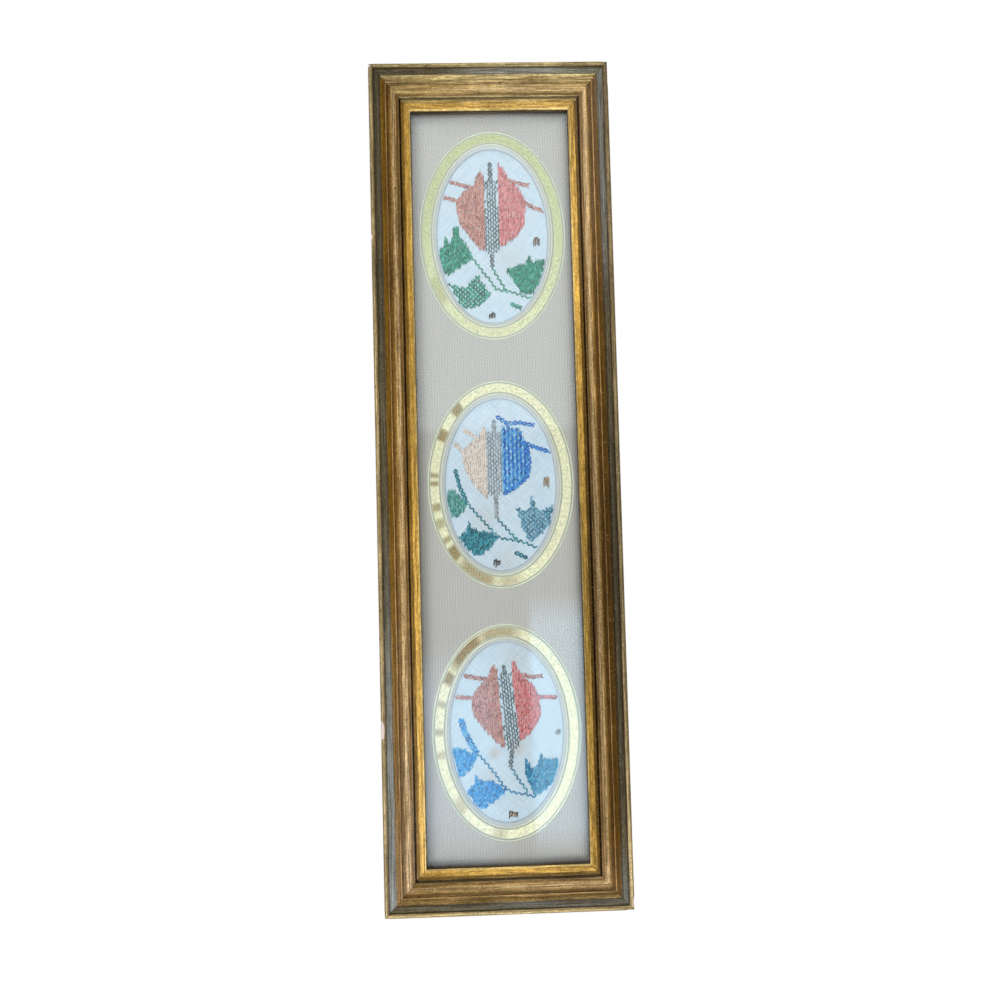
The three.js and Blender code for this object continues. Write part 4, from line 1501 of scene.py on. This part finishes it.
def add_stitches(name, stitches, material, middle, draw):
    """Many stitches as one mesh. Each is a tube round the line from its start to its end, which
    bows aside a little and arches out of the cloth, thick in the middle and sunk at both ends.

    Point (s, r, c) of stitch s is its line at t of ring r, plus the ring's radius times the
    cosine of side c's angle along the cloth and its sine off the cloth.
    """
    start, reach = stitches[:, :2], stitches[:, 2:4] - stitches[:, :2]
    thick, count = stitches[:, 4, None, None], len(stitches)
    t = np.array(TUBE_RINGS)[:, None]
    angle = np.arange(TUBE_SIDES) / TUBE_SIDES * 2 * pi
    arch = np.sin(pi * t)
    length = np.hypot(*reach.T)[:, None]
    side = np.stack([-reach[:, 1], reach[:, 0]], 1) / length
    bow = draw.normal(0, BOW, (count, 1, 1)) * arch
    radius = thick * (0.6 + 0.4 * arch**0.7) * draw.normal(1, 0.05, (count, 1, 1))
    run = t * (1 + 2 * OVERLAP) - OVERLAP
    off = bow + radius * np.cos(angle)
    flat = middle + start[:, None, None] + reach[:, None, None] * run[..., None]
    flat = flat + side[:, None, None] * off[..., None]
    lift = CLOTH_FRONT + thick * (0.1 + 0.45 * arch) + FLATTENED * radius * np.sin(angle)
    points = np.stack([flat[..., 0], -lift, flat[..., 1]], -1)
    rings, sides = len(TUBE_RINGS), TUBE_SIDES
    quads, ring, turn = grid_quads(rings, sides, wrap_columns=True)
    near_end = np.array([[0, 1, 2, 3], [0, 3, 4, 5]])
    far_end = near_end + (rings - 1) * sides
    one = np.concatenate([quads, near_end[:, ::-1], far_end])
    faces = (one + np.arange(count)[:, None, None] * rings * sides).reshape(-1, 4)
    along = length[:, None] * run[ring, 0] * MM
    tube_uv = np.stack(np.broadcast_arrays(turn / sides, along), -1)
    cap_uv = np.zeros((count, 2 * len(near_end), 4, 2))
    lot = np.clip(draw.normal(stitches[:, 5], LOT_SPREAD), 0, 1)
    return add_piece(
        name,
        points.reshape(-1, 3) * MM,
        [faces],
        [material],
        {"lot": np.repeat(lot, rings * sides)},
        corner_uv=[np.concatenate([tube_uv, cap_uv], axis=1).reshape(-1, 4, 2)],
    )


def embroider(window, settings, draw):
    """All the stitches on one linen, a piece for each yarn, kept just inside the window."""
    flower = FLOWERS[window.place]
    work = []
    for field in flower.fields:
        work.append((filled_stitches, field))
        if field.padding:
            work.append((filled_stitches, field._replace(yarn=field.padding, filling="padding")))
    work += [(strand_stitches, strand) for strand in flower.strands]
    work += [(knot_stitches, knot) for knot in flower.knots]
    by_yarn = {}
    for stitch, part in work:
        by_yarn.setdefault(part.yarn, []).append(stitch(part, draw))
    half = np.array([window.width, window.height]) / 2 - WINDOW_MARGIN
    pieces = []
    for yarn, tables in by_yarn.items():
        stitches = np.concatenate(tables)
        kept = np.hypot(*(stitches[:, :2] / half).T) < 1
        kept &= np.hypot(*(stitches[:, 2:4] / half).T) < 1
        material = material_of(f"{yarn} yarn", build_yarn, tuple(getattr(settings, yarn)))
        name = f"stitches_{window.place}_{yarn}"
        pieces.append(add_stitches(name, stitches[kept], material, window_middle(window), draw))
    return pieces


# ---- Operators ---------------------------------------------------------------------------------


class PICTURE_OT_moulding(bpy.types.Operator):
    """Make the four rails of the gilt moulding"""

    bl_idname = "picture.moulding"
    bl_label = "Gilt Moulding"

    def execute(self, context):
        settings = context.scene.picture_frame
        gilding = material_of("rubbed gilding", build_gilding, settings, *MOULDING_STREAKS)
        fit_rails("moulding", MOULDING, settings, gilding, 0)
        return {"FINISHED"}


class PICTURE_OT_slip(bpy.types.Operator):
    """Make the four rails of the inner gilt slip"""

    bl_idname = "picture.slip"
    bl_label = "Gilt Slip"

    def execute(self, context):
        settings = context.scene.picture_frame
        gilding = material_of("slip gilding", build_gilding, settings, *SLIP_STREAKS)
        fit_rails("slip", SLIP, settings, gilding, len(RAILS))
        return {"FINISHED"}


class PICTURE_OT_glass(bpy.types.Operator):
    """Give the pane its clear glass"""

    bl_idname = "picture.glass"
    bl_label = "Glass"

    def execute(self, context):
        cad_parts["glass"].material_slots[0].material = material_of("clear pane", build_glass)
        return {"FINISHED"}


class PICTURE_OT_mat(bpy.types.Operator):
    """Make the ribbed mat with its bevelled windows and stamped gold ovals"""

    bl_idname = "picture.mat"
    bl_label = "Mat"

    def execute(self, context):
        settings = context.scene.picture_mat
        materials = [
            material_of("ribbed book cloth", build_ribbed_cloth, settings),
            material_of("bevel core", build_core, settings),
            material_of("stamped gold foil", build_foil, settings),
        ]
        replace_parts(add_mat(materials), "mat")
        return {"FINISHED"}


class PICTURE_OT_linens(bpy.types.Operator):
    """Make the three linens and work their flowers"""

    bl_idname = "picture.linens"
    bl_label = "Linens and Stitches"

    def execute(self, context):
        settings = context.scene.picture_stitches
        linen_cloth = material_of("bias linen", build_linen, settings)
        for number, window in enumerate(WINDOWS):
            linen, (width, height) = add_linen(window, linen_cloth)
            draw = np.random.default_rng(SEED + number)
            stitches = embroider(window, settings, draw)
        return {"FINISHED"}


class PICTURE_OT_backing(bpy.types.Operator):
    """Give the backing board its brown paper face"""

    bl_idname = "picture.backing"
    bl_label = "Backing Board"

    def execute(self, context):
        board = material_of("backing board", build_board, context.scene.picture_mat)
        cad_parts["backing"].material_slots[0].material = board
        return {"FINISHED"}


# Soft lamps, in metres: where each stands, where it points, its width and height, its watts, its
# colour, and the share of the way across over which its light fades in from each side. The three
# windows stand square in front, where the glass mirrors them.
Lamp = namedtuple("Lamp", "name place aim width height watts tint soft")
WHITE, DAY, SKY, DEEP_SKY = (1.0, 1.0, 1.0), (0.75, 0.9, 1.0), (0.45, 0.75, 1.0), (0.42, 0.7, 1.0)
PICTURE = (0, 0, -0.24)
LAMPS = (
    Lamp("key", (0.9, -1.5, -1.9), PICTURE, 1.0, 1.0, 47, (1.0, 0.99, 0.97), 0),
    Lamp("side fill", (-1.5, -1.3, -0.1), PICTURE, 0.8, 1.0, 13, WHITE, 0),
    Lamp("top fill", (0.0, -1.0, 1.6), PICTURE, 1.0, 0.8, 12, WHITE, 0),
    Lamp("back fill", (-0.7, 1.7, 0.6), PICTURE, 1.0, 1.0, 16, WHITE, 0),
    Lamp("upper window", (0.03, -2.0, 0.73), (0.03, 0, 0.73), 0.6, 1.13, 4.3, DAY, 0.03),
    Lamp("right window", (0.2, -2.0, -0.78), (0.2, 0, -0.78), 0.2, 0.85, 2.5, SKY, 0.12),
    Lamp("left window", (-0.13, -2.0, -0.88), (-0.13, 0, -0.88), 0.36, 0.76, 3.3, DEEP_SKY, 0.25),
)
CAMERA_PLACE = (-0.0049, -0.452, -0.298)
CAMERA_PAN, CAMERA_TILT, CAMERA_ROLL = -1.37, 2.24, 1.53  # degrees: left, up, clockwise
CAMERA_SHIFT = (-0.010, 0.0464)
FLOOR_RINGS, FLOOR_SPOKES, FLOOR_SKIRT = 24, 96, 0.02


def add_floor(settings):
    """A round floor, point (ring, k) at its ring's radius and the angle of k, and an even skirt
    below its rim."""
    rings = np.linspace(0.001, settings.floor_radius, FLOOR_RINGS)
    angle = np.linspace(0, 2 * pi, FLOOR_SPOKES, endpoint=False)
    radius, turn = np.meshgrid(np.append(rings, rings[-1]), angle, indexing="ij")
    height = np.full_like(radius, LOW[2] - settings.floor_drop)
    height[-1] -= FLOOR_SKIRT
    points = np.stack([radius * np.cos(turn), radius * np.sin(turn), height], -1)
    quads, _, _ = grid_quads(*radius.shape, wrap_columns=True)
    mesh = bpy.data.meshes.new("floor")
    mesh.from_pydata(points.reshape(-1, 3).tolist(), [], quads[:, ::-1].tolist())
    mesh.materials.append(material_of("pale floor", build_floor, settings))
    floor = bpy.data.objects.new("floor", mesh)
    bpy.context.scene.collection.objects.link(floor)
    floor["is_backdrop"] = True


def light_room(world, strength):
    """Even light of the given strength, which the camera, glass and polish see as plain white."""
    world.use_nodes = True
    world.node_tree.nodes.clear()
    nodes = Nodes(world.node_tree)
    path = nodes.add("ShaderNodeLightPath").outputs
    seen = nodes.math("MAXIMUM", path["Is Camera Ray"], path["Is Glossy Ray"])
    seen = nodes.math("MAXIMUM", seen, path["Is Transmission Ray"])
    power = nodes.blend(seen, strength, 1.0)
    sky = nodes.add("ShaderNodeBackground", {"Color": (1, 1, 1, 1), "Strength": power})
    nodes.add("ShaderNodeOutputWorld", {"Surface": sky.outputs[0]})


def soften(light, share):
    """Make a lamp fade out toward its sides: its light is the product over both ways of a ramp
    from nothing on the side to full at the given share of the way across."""
    light.use_nodes = True
    light.node_tree.nodes.clear()
    nodes = Nodes(light.node_tree)
    ramps = []
    for way in nodes.parts(nodes.add("ShaderNodeNewGeometry").outputs["Parametric"])[:2]:
        from_side = nodes.math("MINIMUM", way, nodes.math("SUBTRACT", 1.0, way))
        ramps.append(nodes.step(from_side, 0.0, share))
    glow = nodes.add("ShaderNodeEmission", {"Strength": nodes.times(*ramps)})
    nodes.add("ShaderNodeOutputLight", {"Surface": glow.outputs[0]})


def add_lamp(scene, lamp):
    """A lamp whose light leaves it along the line from its place to where it points."""
    light = bpy.data.lights.new(lamp.name, "AREA")
    light.shape = "RECTANGLE"
    light.size, light.size_y = lamp.width, lamp.height
    light.energy = lamp.watts
    light.color = lamp.tint
    if lamp.soft:
        soften(light, lamp.soft)
    holder = bpy.data.objects.new(lamp.name, light)
    holder.location = lamp.place
    way = Vector(lamp.aim) - Vector(lamp.place)
    holder.rotation_euler = way.to_track_quat("-Z", "Y").to_euler()
    holder.visible_camera = False
    scene.collection.objects.link(holder)


def add_camera(scene, settings):
    """The camera, which looks along +Y before it is rolled, tilted and panned."""
    lens = bpy.data.cameras.new("camera")
    lens.lens = settings.image_focus
    lens.sensor_width = 36
    lens.shift_x, lens.shift_y = CAMERA_SHIFT
    lens.clip_start, lens.clip_end = 0.01, 50
    camera = bpy.data.objects.new("camera", lens)
    turn = Matrix.Identity(4)
    for angle, axis in ((CAMERA_PAN, "Z"), (CAMERA_TILT, "X"), (CAMERA_ROLL, "Y"), (90, "X")):
        turn = turn @ Matrix.Rotation(radians(angle), 4, axis)
    camera.matrix_world = Matrix.Translation(CAMERA_PLACE) @ turn
    scene.collection.objects.link(camera)
    scene.camera = camera


class PICTURE_OT_stage(bpy.types.Operator):
    """Make the floor, the lamps, the room light and the camera"""

    bl_idname = "picture.stage"
    bl_label = "Floor, Lamps and Camera"

    def execute(self, context):
        scene = context.scene
        settings = scene.picture_stage
        add_floor(settings)
        scene.world = scene.world or bpy.data.worlds.new("room")
        light_room(scene.world, settings.room_light)
        for lamp in LAMPS:
            add_lamp(scene, lamp)
        add_camera(scene, settings)
        scene.view_settings.view_transform = "Standard"
        return {"FINISHED"}


class PICTURE_PT_panel(bpy.types.Panel):
    """Lists the steps that make the picture"""

    bl_idname = "PICTURE_PT_panel"
    bl_label = "Framed Needlepoint Picture"
    bl_space_type = "VIEW_3D"
    bl_region_type = "UI"
    bl_category = "Picture"

    def draw(self, context):
        for step in STEPS:
            self.layout.operator(step.bl_idname)


SETTINGS = {
    "picture_frame": FrameSettings,
    "picture_mat": MatSettings,
    "picture_stitches": StitchSettings,
    "picture_stage": StageSettings,
}
STEPS = (
    PICTURE_OT_stage,
    PICTURE_OT_moulding,
    PICTURE_OT_slip,
    PICTURE_OT_glass,
    PICTURE_OT_mat,
    PICTURE_OT_linens,
    PICTURE_OT_backing,
)
CLASSES = (*SETTINGS.values(), *STEPS, PICTURE_PT_panel)


def register():
    for kind in CLASSES:
        bpy.utils.register_class(kind)
    for name, kind in SETTINGS.items():
        setattr(bpy.types.Scene, name, PointerProperty(type=kind))


def unregister():
    for name in SETTINGS:
        delattr(bpy.types.Scene, name)
    for kind in reversed(CLASSES):
        bpy.utils.unregister_class(kind)


def main():
    """Makes the whole picture."""
    register()
    for step in STEPS:
        group, name = step.bl_idname.split(".")
        getattr(getattr(bpy.ops, group), name)()


if __name__ == "__main__":
    main()
